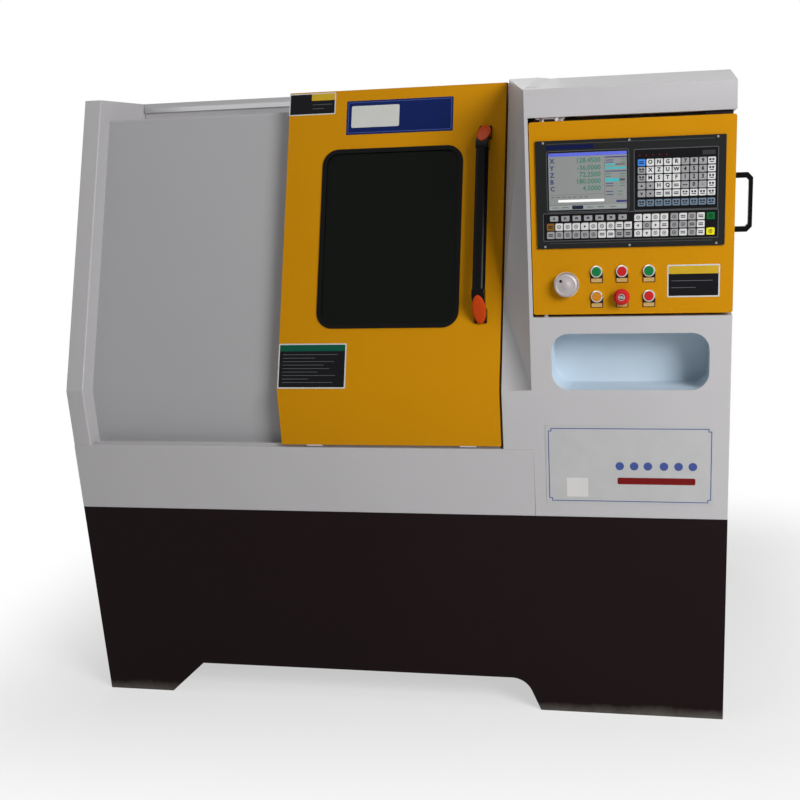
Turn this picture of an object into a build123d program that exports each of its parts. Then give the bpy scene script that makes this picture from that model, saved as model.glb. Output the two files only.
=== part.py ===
from build123d import *
import os
from math import cos, pi, radians, sin, tan

# A small slant-bed turning lathe in its sheet-metal enclosure. All sizes are in millimetres.
# While it is drawn, X runs to the operator's right from the left side, Y runs into the
# machine from its front and Z runs up from the floor. The origin moves to the bottom centre
# of the whole machine when the pieces are written.

# Enclosure
machine_width = 1810.0
machine_depth = 1200.0
base_height = 579.0
kink_height = 918.0  # where the upright front starts to lean back
lean = radians(21.3)
housing_height = 1700.0
cabinet_width = 500.0
cabinet_drop = 48.0  # top edge of the cabinet's front, under the roof
sheet = 3.0
seam = 1.0  # gap left between neighbouring sheet pieces

# Base stand
base_wall = 6.0
base_top = 10.0
foot_plate = 12.0
left_foot = 200.0
left_foot_slope = 108.0
right_foot_slope = 40.0
foot_corner = 60.0
floor_gap = 97.0
anchor_radius = 9.0
anchor_inset_x = 90.0
anchor_inset_y = 60.0
drain_width = 420.0
drain_depth = 170.0
drain_inset_x = 120.0
drain_inset_y = 60.0

# Ventilation slots of the side and rear sheets
vent_height = 8.0
side_vent_width = 260.0
side_vent_y = 620.0
side_vent_bottom = 640.0
side_vent_pitch = 26.0
side_vent_rows = 10
rear_vent_width = 180.0
rear_vent_x = 300.0
rear_vent_drop = 440.0  # lowest slot under the roof
rear_vent_pitch = 24.0
rear_vent_rows = 12

# Recess in which the door runs
sill_height = 762.0
sill_lip = 40.0
recess = 50.0
pillar_width = 50.0
post_width = 80.0
post_splay = 90.0  # depth of the post's splayed filler at its bend
panel_drop = 58.0  # top edge of the fixed panel, under the roof
panel_overlap = 30.0
panel_flange = 15.0
panel_fold = 25.0
beam_setback = 550.0

# Sliding door
door_share = 0.3343  # of the machine's width
door_drop = 8.0
door_thickness = 32.0
door_gap = 6.0
door_foot_gap = 8.0
skin = 2.0
boss_width = 70.0
boss_height = 45.0
boss_drop = 15.0
window_side = 108.0  # from the door's left edge
window_clear = 117.0  # from the door's right edge
window_start = 174.0  # along the slope from the kink
window_head = 172.0  # along the slope from the door's top
window_corner = 40.0
window_frame = 20.0
seal_web = 7.0
seal_lip = 5.0
seal_proud = 2.5
seal_bite = 4.0
glass_thickness = 6.0

# Door handle: an oval tube on two elbow ends
handle_from_right = 52.0
handle_start = 158.0
handle_head = 133.0
handle_width = 34.0
handle_depth = 24.0
handle_standoff = 44.0
handle_foot = 40.0
handle_sleeve = 1.5
leg_width = 30.0
leg_length = 34.0
leg_corner = 12.0
cap_corner = 12.0
cap_lift = 3.0
cap_thickness = 5.0

# Door running gear
rail_height = 13.0
rail_depth = 8.0
rail_waist = 1.5
rail_drop = 27.0
rail_end_gap = 4.0
carriage_height = 27.0
carriage_length = 45.0
carriage_depth = 10.0
carriage_gap = 3.0
carriage_inset = 90.0
arm_thickness = 6.0
slide_gap = 0.4
guide_strip = 4.0
guide_height = 7.0
guide_inset = 10.0
shoe_wall = 5.0
shoe_lift = 2.0

# Cabinet front, from the top of the storage niche upwards
bay_drop = 113.0  # top of the operator's bay, under the roof
bay_height = 479.0
bay_depth = 150.0
niche_left = 53.0  # from the cabinet's left edge
niche_width = 394.0
niche_drop = 42.0  # top of the niche, under the bay
niche_height = 145.0
niche_corner = 45.0
niche_depth = 108.0
niche_flange = 14.0

# Operator box in its bay
stile = 9.0
box_side_gap = 11.0
box_bottom_gap = 7.0
box_top_gap = 10.0
box_depth = 140.0
box_corner = 6.0
pivot_radius = 6.0
pivot_inset = 30.0
pivot_setback = 12.0
pivot_bite = 8.0
pivot_wall = 6.0
pivot_plate_width = 70.0
pivot_plate_depth = 26.0
pivot_plate = 4.0
pivot_plate_x = 22.0
pivot_bolt_x = 46.0
pivot_bolt_radius = 7.0
pivot_bolt = 9.0
running_gap = 0.08

# Controller on the operator box, placed from the cabinet's left edge and the bay's bottom
panel_left = 26.0
panel_above = 170.0
panel_width = 451.0
panel_height = 255.0
panel_corner = 3.0
panel_proud = 4.0
controller_depth = 90.0
controller_margin = 14.0
screen_left = 57.0
screen_above = 262.0
screen_width = 189.0
screen_height = 134.0
screen_recess = 2.0
screen_sink = 0.5
key_height = 2.5
key_gap = 2.4
letter_keys = (270.0, 454.0)
soft_keys = (54.5, 248.5)
mode_keys = (49.0, 258.0)
feed_keys = (261.5, 344.5)
axis_keys = (347.5, 430.5)
cycle_keys = (432.5, 454.0)
letter_rows = (286.0, 376.0)
function_rows = (264.5, 282.5)
soft_rows = (234.5, 249.5)
mode_rows = (193.0, 232.0)
feed_rows = (193.5, 249.0)
start_rows = (230.0, 249.0)
hold_rows = (194.0, 213.0)

# Push buttons, emergency stop and handwheel on the operator box
button_rows = (112.0, 51.0)  # above the bay's bottom
button_columns = (170.0, 232.3, 298.0)
bezel_radius = 14.8
bezel_height = 6.0
bezel_edge = 1.5
bezel_nut = 6.0
cap_radius = 11.4
cap_proud = 9.5
cap_edge = 1.2
cap_gap = 0.4
button_travel = 3.0
stem_radius = 10.0
neck_radius = 11.2
neck_length = 22.0
neck_ledge = 1.0
mushroom_radius = 20.0
mushroom_height = 16.0
mushroom_rim = (5.0, 9.0)
stop_travel = 4.0
handwheel_x = 95.3
handwheel_above = 81.5
handwheel_radius = 29.0
handwheel_thickness = 15.0
handwheel_gap = 3.0
handwheel_edge = 3.0
handwheel_hub = 9.0
handwheel_rim = 6.0
handwheel_dish = 1.5
handwheel_notches = 24
notch_size = 2.2
knob_offset = 13.0
knob_radius = 5.0
knob_height = 8.0
encoder_radius = 24.0
encoder_depth = 30.0
encoder_flange = 2.0
shaft_radius = 4.0

# Grip on the right side of the operator box
grip_above = 196.0
grip_height = 140.0
grip_reach = 43.0
grip_bar = 13.0
grip_end_bar = 9.75
grip_depth = 20.0
grip_setback = 45.0
grip_corner = 12.0

# Spindle line and slant bed
slant = radians(45.0)
spindle_y = 430.0
spindle_z = 1110.0
centre_height = 210.0  # spindle axis above the bed face
bed_left = 215.0
bed_right_gap = 20.0
bed_low = -150.0  # up the slant from below the spindle
bed_high = 280.0
bed_back = 840.0
bed_front = 400.0
bed_wall = 22.0
bed_bays = 4
bay_wall = 35.0
bay_sill = 60.0
bay_head = 80.0
guide_width = 30.0
guide_rise = 26.0
guide_waist = 6.0
guide_steps = (7.0, 11.0, 14.0, 18.0)
guide_lines = (-60.0, 220.0)
guide_inset_start = 25.0
guide_inset_end = 8.0
trough_width = 70.0
trough_depth = 60.0
trough_wall = 15.0
screw_line = 80.0
screw_drop = 28.0
screw_radius = 12.5
screw_journal = 8.5
screw_thread_gap = 60.0
support_length = 28.0
support_inset = 20.0
support_top = 1.5
support_gap = 0.5

# Headstock and spindle
head_left = 230.0
head_gap = 10.0
head_half_width = 130.0
head_foot = 40.0
head_crown = 92.0
head_fins = 5
fin_width = 8.0
fin_height = 8.0
spindle_radius = 40.0
spindle_bore = 22.0
spindle_clear = 5.0
spindle_tail = 25.0
bearing_radius = 62.0
bearing_width = 46.0
bearing_gap = 2.0
nose_start = 20.0
nose_radius = 70.0
nose_thickness = 20.0
nose_clear = 8.0
bulkhead_gap = 59.0  # from the bulkhead to the door's left edge
chuck_radius = 100.0
chuck_length = 80.0
chuck_bore = 26.0
chuck_step = (44.0, 50.0)
chuck_step_depth = 3.0
chuck_edge = 4.0
socket_place = 24.0
socket_size = 12.0
socket_depth = 25.0
jaw_width = 22.0
jaw_height = 36.0
jaw_root = 24.0
jaw_inner = 30.0
jaw_step = 14.0
jaw_margin = 4.0
jaw_travel = 18.0

# Belt drive and spindle motor
spindle_pulley_radius = 75.0
motor_pulley_radius = 50.0
pulley_left = 155.0
pulley_width = 44.0
pulley_flange = 5.0
pulley_recess = 14.0
pulley_rim = 10.0
flange_height = 10.0
belt_thickness = 6.0
belt_lift = 0.3
belt_inset = 2.0
motor_y = 190.0
motor_z = 715.0
motor_radius = 95.0
motor_gap = 24.0  # from the pulley to the motor's face
motor_end_gap = 47.0  # from the motor to the bulkhead
motor_shaft = 19.0
motor_shaft_bite = 60.0
motor_ribs = 12
motor_rib = 6.0
motor_rib_height = 10.0
motor_face = 22.0
motor_cowl = 55.0
terminal_share = (0.3, 0.65)  # of the motor's length
terminal_width = 90.0
terminal_height = 45.0
foot_inset = 40.0
foot_height = 14.0
foot_web = 100.0

# Saddle, cross slide and turret, from the saddle's left edge at rest
saddle_end_gap = 35.0
saddle_length = 215.0
saddle_low = -100.0
saddle_high = 455.0
saddle_under = 34.0
saddle_plate = 28.0
runner_length = 70.0
runner_half = 35.0
runner_inset = 4.0
runner_low = 6.0
way_start = 20.0
way_end_gap = 10.0
way_height = 20.0
way_width = 22.0
way_offset = 78.0
nut_half = 28.0
nut_length = 70.0
nut_foot = 6.0
end_block_start = 4.0
end_block = (16.0, 22.0)
end_block_height = 34.0
cross_screw_rise = 14.0
cross_screw_radius = 10.0
cross_screw_journal = 7.0
cross_screw_end = 40.0
slide_length = 240.0
slide_centre = 315.0
slide_top = 20.0
slide_side_gap = 6.0
slide_lift = 1.0
slide_channel = 60.0
slide_channel_height = 38.0
slide_nut_width = 48.0
slide_nut_length = 60.0
turret_radius = 118.0
turret_thickness = 70.0
turret_overhang = 10.0
turret_stations = 8
turret_hub = (61.0, 12.0)
turret_collar = (71.0, 8.0)
turret_body_radius = 82.0
turret_body_width = 140.0
turret_cap_radius = 68.0
turret_cap = 40.0
turret_inset = (8.0, 10.0)
turret_shaft = 32.0
turret_shaft_bite = 50.0
slot_bottom = 65.0
slot_side = 7.0
slot_depth = 26.0
tool_reach = 38.0
tool_shank = 20.0
tool_root = 68.0
wedge_width = 6.5
wedge_proud = 4.0
tip_size = (11.0, 12.0, 5.0)
socket_circle = 90.0
socket_radii = (10.0, 17.0, 22.0)
socket_lengths = (20.0, 6.0)

# Servo motors: half-sizes follow from a flange, a body and a cap, each with its length
z_servo_flange = (100.0, 100.0, 12.0, 8.0)
z_servo_body = (92.0, 92.0, 138.0, 10.0)
z_servo_cap = (84.0, 84.0, 28.0, 16.0)
x_servo_flange = (90.0, 76.0, 10.0, 8.0)
x_servo_body = (84.0, 72.0, 120.0, 10.0)
x_servo_cap = (74.0, 64.0, 22.0, 14.0)
servo_bite = 45.0

# Work light under the shelf over the opening
light_left = 480.0
light_right = 60.0
light_width = 50.0
light_height = 34.0
light_setback = 80.0
light_edge = 10.0

# Coolant tank, pump and chip tray
tank_gap = 60.0  # from the tank to the cabinet's left edge
tank_width = 640.0
tank_depth = 640.0
tank_bottom = 110.0
tank_height = 280.0
tank_deck = 220.0
tank_slot_width = 130.0
tank_slot_height = 34.0
tank_slot_drop = 40.0
runner_width = 30.0
pump_inset = 110.0
pump_hole = 52.0
pump_stem = (40.0, 200.0)
pump_flange = (70.0, 8.0)
pump_motor = (56.0, 122.0)
pump_cap = (60.0, 20.0)
outlet_radius = 14.0
outlet_length = 40.0
outlet_offset = 62.0
outlet_rise = 30.0
tray_gap = 15.0
tray_right_gap = 12.0
tray_front = 64.0
tray_back_gap = 5.0
tray_height = 120.0
tray_slot_length = 90.0
tray_slot_width = 6.0
tray_slot_place = (200.0, 80.0)
tray_slot_pitch = (120.0, 24.0)
tray_slot_count = (3, 6)

# Electrical compartment with its door
hatch_front = 460.0
hatch_back_gap = 60.0
hatch_above = 61.0  # over the base
hatch_drop = 140.0  # under the roof
hatch_depth = 20.0
hatch_gap = 3.0
hinge_shares = (0.12, 0.5, 0.88)
hinge_pin = 5.0
hinge_pin_gap = 4.0
hinge_leaf = 26.0
knuckle_radius = 8.0
knuckle_length = 60.0
lock_inset = 40.0
lock_radius = 11.0
lock_length = 22.0
lock_collar = 3.0
lock_wing = (8.0, 34.0, 13.0, 3.0)
lock_tongue = (18.0, 60.0, 4.0, 4.0)
lock_tongue_rise = 18.0
switch_inset = 120.0
switch_drop = 140.0
switch_radius = 22.0
switch_disc = (2.0, 10.0)
switch_knob = (14.0, 42.0, 20.0, 5.0)
switch_shaft = 12.0
switch_shaft_length = 40.0
board_gap = 40.0
board_inset = 20.0
board_strut = 30.0
board_strut_reach = 10.0
duct_width = 32.0
duct_depth = 50.0
duct_shares = (0.045, 0.34, 0.66, 0.96)  # of the board's height
drive_count = 3
drive_size = (100.0, 190.0, 190.0)
drive_pitch = 130.0
supply_size = (150.0, 200.0, 190.0)
contactor_count = 9
contactor_size = (46.0, 85.0, 90.0)
contactor_pitch = 58.0
transformer_size = (180.0, 120.0, 120.0)
filter_size = (200.0, 110.0, 100.0)
unit_inset = 40.0
unit_lift = 25.0

# Places that follow from the sizes above
cabinet_left = machine_width - cabinet_width
cabinet_front_height = housing_height - cabinet_drop
jamb_x = cabinet_left - post_width
fixed_panel_top = housing_height - panel_drop
rail_level = housing_height - rail_drop
inner_back = machine_depth - sheet
door_width = machine_width * door_share
door_right = jamb_x - door_gap
door_left = door_right - door_width
door_bottom = sill_height + door_foot_gap
door_top = housing_height - door_drop
door_slope = (door_top - kink_height) / cos(lean)
window_width = door_width - window_side - window_clear
window_height = door_slope - window_start - window_head
handle_length = door_slope - handle_start - handle_head
bay_top = housing_height - bay_drop
bay_bottom = bay_top - bay_height
niche_bottom = bay_bottom - niche_drop - niche_height
box_left = cabinet_left + box_side_gap
box_bottom = bay_bottom + box_bottom_gap
box_top = bay_top - box_top_gap
panel_bottom = bay_bottom + panel_above
screen_bottom = bay_bottom + screen_above
handwheel_z = bay_bottom + handwheel_above
grip_bottom = bay_bottom + grip_above
bulkhead_x = door_left - bulkhead_gap
head_length = bulkhead_x - head_gap - head_left
motor_left = pulley_left + pulley_width + motor_gap
motor_length = bulkhead_x - motor_end_gap - motor_left
bed_right = cabinet_left - bed_right_gap
guide_start = bulkhead_x + guide_inset_start
saddle_left = bed_right - saddle_end_gap - saddle_length
tank_left = cabinet_left - tank_gap - tank_width
tray_left = bulkhead_x + tray_gap
hatch_back = machine_depth - hatch_back_gap
hatch_bottom = base_height + hatch_above
hatch_top = housing_height - hatch_drop
bed_origin_y = spindle_y + centre_height * sin(slant)
bed_origin_z = spindle_z - centre_height * cos(slant)

front = Plane(origin=(0, 0, kink_height), x_dir=(1, 0, 0), z_dir=(0, -cos(lean), sin(lean)))
bed = Plane(
    origin=(0, bed_origin_y, bed_origin_z), x_dir=(1, 0, 0), z_dir=(0, -sin(slant), cos(slant))
)


def block(x, y, z):
    """Box between pairs of limits along X, Y and Z."""
    middle = Pos((x[0] + x[1]) / 2, (y[0] + y[1]) / 2, (z[0] + z[1]) / 2)
    return middle * Box(x[1] - x[0], y[1] - y[0], z[1] - z[0])


def along_x(sketch, x0, x1):
    """Extrude a sketch drawn in (y, z) from x0 to x1."""
    return extrude(Plane.YZ.offset(x0) * sketch, amount=x1 - x0)


def along_y(sketch, y0, y1):
    """Extrude a sketch drawn in (x, z) from y0 to y1."""
    return extrude(Plane.XZ.offset(-y1) * sketch, amount=y1 - y0)


def along_z(sketch, z0, z1):
    """Extrude a sketch drawn in (x, y) from z0 to z1."""
    return extrude(Plane.XY.offset(z0) * sketch, amount=z1 - z0)


def outline(points):
    """Closed flat shape through the given points."""
    return make_face(Polyline(*points, close=True))


def ring(outer, inner):
    return Circle(outer) - Circle(inner)


def group(solids):
    """Several separate solids that share one piece's name."""
    return Compound(children=[solid for item in solids for solid in item.solids()])


def crease(offset):
    """Height of the front's bend, on a surface set back from the front."""
    return kink_height - offset * tan(lean / 2)


def lean_y(height, offset):
    """Depth of the leaning front at a height, on a surface set back from it."""
    return (height - kink_height) * tan(lean) + offset / cos(lean)


def front_wall(x, offsets, z):
    """Wall that follows the front's bend between two setbacks and two heights."""
    near, far = offsets
    points = [
        (near, z[0]),
        (near, crease(near)),
        (lean_y(z[1], near), z[1]),
        (lean_y(z[1], far), z[1]),
        (far, crease(far)),
        (far, z[0]),
    ]
    return along_x(outline(points), *x)


def side_outline(setback, bottom, top):
    """Side view of the housing, set back from its front and from its rear."""
    back = inner_back - seam
    return outline(
        [
            (setback, bottom),
            (setback, crease(setback)),
            (lean_y(top, setback), top),
            (back, top),
            (back, bottom),
        ]
    )


def base_stand():
    """Welded stand: hollow box on two feet, with a low gap under its middle."""
    right_foot = cabinet_left
    skirt = outline(
        [
            (0, 0),
            (left_foot, 0),
            (left_foot + left_foot_slope, floor_gap),
            (right_foot - right_foot_slope, floor_gap),
            (right_foot, 0),
            (machine_width, 0),
            (machine_width, base_height),
            (0, base_height),
        ]
    )
    bend = Vertex(right_foot - right_foot_slope, floor_gap, 0)
    skirt = fillet(skirt.vertices().sort_by_distance(bend)[0], foot_corner)
    stand = along_y(skirt, 0, machine_depth)
    inside_x = (base_wall, machine_width - base_wall)
    inside_y = (base_wall, machine_depth - base_wall)
    stand -= block(inside_x, inside_y, (foot_plate, base_height - base_top))
    runner_top = tank_bottom - slide_gap
    tank_x = (tank_left - runner_width / 2, tank_left + tank_width + runner_width / 2)
    for rib_x, side in ((tank_x[0], 1), (tank_x[1], -1)):
        rib = block(
            sorted((rib_x, rib_x - side * base_wall)),
            inside_y,
            (floor_gap, base_height - base_top),
        )
        runner = block(
            sorted((rib_x, rib_x + side * runner_width)),
            inside_y,
            (runner_top - base_wall, runner_top),
        )
        stand += rib + runner
    rear_mouth = (machine_depth - base_wall - seam, machine_depth + seam)
    stand -= block(tank_x, rear_mouth, (floor_gap - seam, base_height - base_top))
    drain_x = (tray_left + drain_inset_x, tray_left + drain_inset_x + drain_width)
    drain_y = (tray_front + drain_inset_y, tray_front + drain_inset_y + drain_depth)
    stand -= block(drain_x, drain_y, (base_height - base_top - seam, base_height + seam))
    for x in (anchor_inset_x, machine_width - anchor_inset_x):
        for y in (anchor_inset_y, machine_depth - anchor_inset_y):
            stand -= along_z(Pos(x, y) * Circle(anchor_radius), -seam, foot_plate + seam)
    return stand


def channel_end(x):
    """Upright wall at one end of the channel in which the door's carriages run."""
    bottom, top = fixed_panel_top, housing_height
    near = recess - seam
    points = [
        (lean_y(bottom, near), bottom),
        (beam_setback, bottom),
        (beam_setback, top),
        (lean_y(top, near), top),
    ]
    return along_x(outline(points), x, x + sheet)


def left_side_panel():
    """Left side sheet with the front strip and the return beside the recess."""
    panel = along_x(side_outline(sheet, base_height, housing_height - sheet), 0, sheet)
    panel += front_wall((0, pillar_width), (0, sheet), (sill_height, housing_height))
    side = (pillar_width - sheet, pillar_width)
    panel += front_wall(side, (0, recess), (sill_height, housing_height))
    panel += channel_end(pillar_width - sheet)
    slot = Rectangle(side_vent_width, vent_height)
    for row in range(side_vent_rows):
        level = side_vent_bottom + row * side_vent_pitch
        panel -= along_x(Pos(side_vent_y, level) * slot, -seam, sheet + seam)
    bar_hole = Pos(spindle_y, spindle_z) * Circle(spindle_radius)
    return panel - along_x(bar_hole, -seam, sheet + seam)


def front_apron():
    """White band under the door with its sill, drip edge and door guide strip."""
    right = cabinet_left
    apron = block((0, right), (0, sheet), (base_height, sill_height))
    apron += block((sheet, right), (0, recess + sheet), (sill_height - sheet, sill_height))
    lip = (sill_height - sill_lip, sill_height)
    apron += block((pillar_width, right), (recess, recess + sheet), lip)
    guide_y = (door_thickness - guide_strip) / 2
    guide = block(
        (pillar_width + guide_inset, jamb_x - guide_inset),
        (guide_y, guide_y + guide_strip),
        (sill_height, sill_height + guide_height),
    )
    return apron + guide


def fixed_front_panel():
    """Panel behind the open door, bent like the front, with a top flange."""
    right = door_left + panel_overlap
    panel = front_wall(
        (pillar_width, right), (recess, recess + sheet), (sill_height, fixed_panel_top)
    )
    top_y = lean_y(fixed_panel_top, recess)
    flange = (fixed_panel_top - sheet, fixed_panel_top)
    panel += block((pillar_width, right), (top_y, top_y + panel_flange), flange)
    edge = (right - sheet, right)
    panel += front_wall(edge, (recess, recess + panel_fold), (sill_height, fixed_panel_top - sheet))
    return panel


def shelf_front():
    """Front edge of the shelf over the opening, just behind the door."""
    return lean_y(fixed_panel_top, recess + sheet)


def roof_panel():
    """Roof sheet folded down into the beam and forward into the shelf over the opening."""
    top = (housing_height - sheet, housing_height)
    roof = block((sheet, cabinet_left), (beam_setback, inner_back), top)
    left_tab = (sheet, pillar_width - sheet - seam)
    roof += block(left_tab, (lean_y(housing_height, sheet) + seam, beam_setback), top)
    right_tab = (jamb_x + sheet + seam, cabinet_left)
    roof += block(right_tab, (lean_y(housing_height, recess + sheet) + seam, beam_setback), top)
    between = (pillar_width + seam, jamb_x - seam)
    beam = (beam_setback, beam_setback + sheet)
    roof += block(between, beam, (fixed_panel_top, housing_height))
    shelf = (shelf_front(), beam_setback)
    return roof + block(between, shelf, (fixed_panel_top, fixed_panel_top + sheet))


def door_rail():
    """Hardened rail on the beam, waisted on both long sides."""
    half = rail_height / 2
    lip = rail_depth / 2 - rail_waist
    section = outline(
        [
            (0, -half),
            (-lip, -half),
            (-rail_depth / 2, rail_waist - half),
            (lip - rail_depth, -half),
            (-rail_depth, -half),
            (-rail_depth, half),
            (lip - rail_depth, half),
            (-rail_depth / 2, half - rail_waist),
            (-lip, half),
            (0, half),
        ]
    )
    middle = Pos(beam_setback, rail_level + half)
    return along_x(middle * section, pillar_width + rail_end_gap, jamb_x - rail_end_gap)


def polyhedron(*faces):
    """Solid bounded by flat faces, each given by its corners."""
    walls = [Face(Wire.make_polygon([Vector(*corner) for corner in face])) for face in faces]
    return Solid(Shell(walls))


def corner_post():
    """Folded post between door and cabinet: a leaning strip and the splayed filler."""
    side_x, edge_x = jamb_x, cabinet_left
    turn = kink_height + post_splay / tan(lean)
    top = housing_height
    low = (edge_x, 0, kink_height)
    bend = (side_x, post_splay, turn)
    far = (side_x, lean_y(top, 0), top)
    rim = (edge_x, 0, cabinet_front_height)
    rear = (edge_x, lean_y(top, 0), top)
    filler = polyhedron(
        (low, bend, rim), (bend, far, rim), (low, rear, far, bend), (low, rim, rear), (rim, far, rear)
    )
    strip = front_wall((side_x, edge_x), (0, recess + sheet), (sill_height, top))
    solid = strip + filler
    hollow = Pos(sheet, sheet / cos(radians(45)), -sheet) * solid
    return solid - hollow + channel_end(jamb_x)


def operator_bay():
    """Walls of the bay that the operator box closes, open to the front and the right."""
    x = (cabinet_left, machine_width)
    walls = block(x, (0, bay_depth + sheet), (bay_bottom - sheet, bay_top + sheet))
    space = block(
        (cabinet_left + sheet, machine_width + seam), (sheet, bay_depth), (bay_bottom, bay_top)
    )
    mouth = block(
        (cabinet_left + stile, machine_width + seam), (-seam, sheet + seam), (bay_bottom, bay_top)
    )
    return walls, space + mouth


def pivot_pins():
    """Upright pins, top and bottom, on which the operator box swings."""
    x, y = box_left + pivot_inset, pivot_setback
    lower = along_z(Pos(x, y) * Circle(pivot_radius), bay_bottom, box_bottom + pivot_bite)
    upper = along_z(Pos(x, y) * Circle(pivot_radius), box_top - pivot_bite, bay_top)
    plate = Pos(x + pivot_plate_x, y + pivot_bite) * Rectangle(pivot_plate_width, pivot_plate_depth)
    bracket = along_z(plate, bay_top - pivot_plate, bay_top)
    head = Pos(x + pivot_bolt_x, y) * RegularPolygon(pivot_bolt_radius, 6)
    return lower + upper + bracket + along_z(head, bay_top - pivot_bolt, bay_top)


def cabinet_outline(setback):
    top = housing_height - setback
    back = inner_back - seam
    return outline(
        [
            (setback, base_height),
            (setback, cabinet_front_height - setback),
            (lean_y(housing_height, recess), top),
            (back, top),
            (back, base_height),
        ]
    )


def niche_shape(grow):
    width, height = niche_width + 2 * grow, niche_height + 2 * grow
    x = cabinet_left + niche_left + niche_width / 2
    z = niche_bottom + niche_height / 2
    return Pos(x, z) * RectangleRounded(width, height, niche_corner + grow)


def hatch_frame(grow):
    """Opening for the door of the electrical compartment, in (y, z)."""
    y = (hatch_front + hatch_back) / 2
    z = (hatch_bottom + hatch_top) / 2
    width = hatch_back - hatch_front + 2 * grow
    return Pos(y, z) * Rectangle(width, hatch_top - hatch_bottom + 2 * grow)


def hinge_axis():
    return machine_width + knuckle_radius, hatch_back + hatch_gap


def hinge_levels():
    """Heights of the joints between lower and upper knuckles of the three hinges."""
    return [hatch_bottom + (hatch_top - hatch_bottom) * share for share in hinge_shares]


def control_cabinet():
    """Cabinet at the right: folded walls, niche front, operator bay, hinge pins."""
    x0, x1 = cabinet_left, machine_width
    cabinet = along_x(cabinet_outline(0), x0, x1)
    cabinet -= along_x(cabinet_outline(sheet), x0 + sheet, x1 - sheet)
    back = inner_back - seam
    lower = block((x0 + sheet, x1 - sheet), (back - sheet, back + seam), (base_height, housing_height))
    cabinet -= lower
    walls, space = operator_bay()
    cabinet = cabinet + walls - space
    cabinet -= along_y(niche_shape(0), -seam, sheet + seam)
    cabinet -= along_x(hatch_frame(0), x1 - sheet - seam, x1 + seam)
    cabinet += corner_post() + pivot_pins()
    pin_x, pin_y = hinge_axis()
    half = knuckle_length / 2
    for level in hinge_levels():
        barrel = along_z(Pos(pin_x, pin_y) * Circle(knuckle_radius), level - half, level)
        pin = along_z(Pos(pin_x, pin_y) * Circle(hinge_pin), level, level + half - hinge_pin_gap)
        leaf = block((x1, pin_x), (pin_y, pin_y + hinge_leaf), (level - half, level))
        cabinet += barrel + pin + leaf
    return cabinet


def niche_liner():
    """Tray with rounded corners behind the opening in the cabinet front."""
    tray = along_y(niche_shape(skin), sheet, sheet + niche_depth)
    tray += along_y(niche_shape(niche_flange), sheet, sheet + skin)
    return tray - along_y(niche_shape(0), 0, sheet + niche_depth - skin)


def rear_panel():
    """Rear sheet with two fields of ventilation slots."""
    panel = block((0, machine_width), (inner_back, machine_depth), (base_height, housing_height))
    slot = Rectangle(rear_vent_width, vent_height)
    bottom = housing_height - rear_vent_drop
    for x in (rear_vent_x, machine_width - cabinet_width / 2):
        for row in range(rear_vent_rows):
            place = Pos(x, bottom + row * rear_vent_pitch)
            panel -= along_y(place * slot, inner_back - seam, machine_depth + seam)
    return panel


def bed_section(inset):
    """Side view of the bed casting, drawn in from its outer face."""
    low = bed_origin_y + bed_low * cos(slant)
    low_z = bed_origin_z + bed_low * sin(slant)
    high = bed_origin_y + bed_high * cos(slant)
    high_z = bed_origin_z + bed_high * sin(slant)
    points = [
        (low, low_z),
        (high, high_z),
        (bed_back, high_z),
        (bed_back, base_height),
        (bed_front, base_height),
        (bed_front, low_z - (low - bed_front)),
    ]
    return offset(outline(points), -inset, kind=Kind.INTERSECTION) if inset else outline(points)


def bed_casting():
    """Slant bed: ribbed casting, pocketed from behind, with a trough for the screw."""
    casting = along_x(bed_section(0), bed_left, bed_right)
    pitch = (bed_right - bed_left - bed_wall) / bed_bays
    pocket = bed_section(bay_wall)
    mouth_z = (base_height + bay_sill, bed_origin_z + bed_high * sin(slant) - bay_head)
    for bay in range(bed_bays):
        x = (bed_left + bed_wall + bay * pitch, bed_left + (bay + 1) * pitch)
        casting -= along_x(pocket, *x)
        casting -= block(x, (bed_back - bay_sill, bed_back + seam), mouth_z)
    half = trough_width / 2
    trough = block(
        (bed_left - seam, bed_right + seam),
        (screw_line - half, screw_line + half),
        (-trough_depth, seam),
    )
    wall = block(
        (bed_left, bed_right),
        (screw_line - half - trough_wall, screw_line + half + trough_wall),
        (-trough_depth - trough_wall, 0),
    )
    return casting + bed * wall - bed * trough


def guide_section(gap):
    """Guide rail seen from its end, with waisted flanks, grown by a gap."""
    half = guide_width / 2 + gap
    waist = half - guide_waist
    top = guide_rise + gap
    foot, narrow, wide, head = guide_steps
    right = [
        (half, 0), (half, foot + gap), (waist, narrow), (waist, wide), (half, head - gap), (half, top)
    ]
    left = [(-x, z) for x, z in reversed(right)]
    return outline(right + left)


def bed_rails():
    """Two guide rails for the saddle."""
    end = bed_right - guide_inset_end
    rails = [bed * along_x(Pos(line, 0) * guide_section(0), guide_start, end) for line in guide_lines]
    return group(rails)


def chamber_bulkhead():
    """Sheet wall between the headstock side and the cutting side."""
    setback = recess + sheet + seam
    top = fixed_panel_top - sheet - seam
    wide = (bulkhead_x - seam, bulkhead_x + sheet + seam)
    wall = along_x(side_outline(setback, base_height, top), bulkhead_x, bulkhead_x + sheet)
    wall -= along_x(bed_section(-skin), *wide)
    wall -= along_x(Pos(spindle_y, spindle_z) * Circle(nose_radius + nose_clear), *wide)
    sill_space = block(wide, (0, recess + sheet + seam), (base_height, sill_height))
    return wall - sill_space


def head_section():
    """Headstock seen from its end, on the slanted face, round over the spindle."""
    crown = Pos(0, centre_height) * Circle(head_crown)
    foot = Rectangle(2 * head_half_width, head_foot, align=(Align.CENTER, Align.MIN))
    shoulder = outline(
        [
            (-head_half_width, head_foot),
            (-head_crown, centre_height),
            (head_crown, centre_height),
            (head_half_width, head_foot),
        ]
    )
    return crown + foot + shoulder


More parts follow.
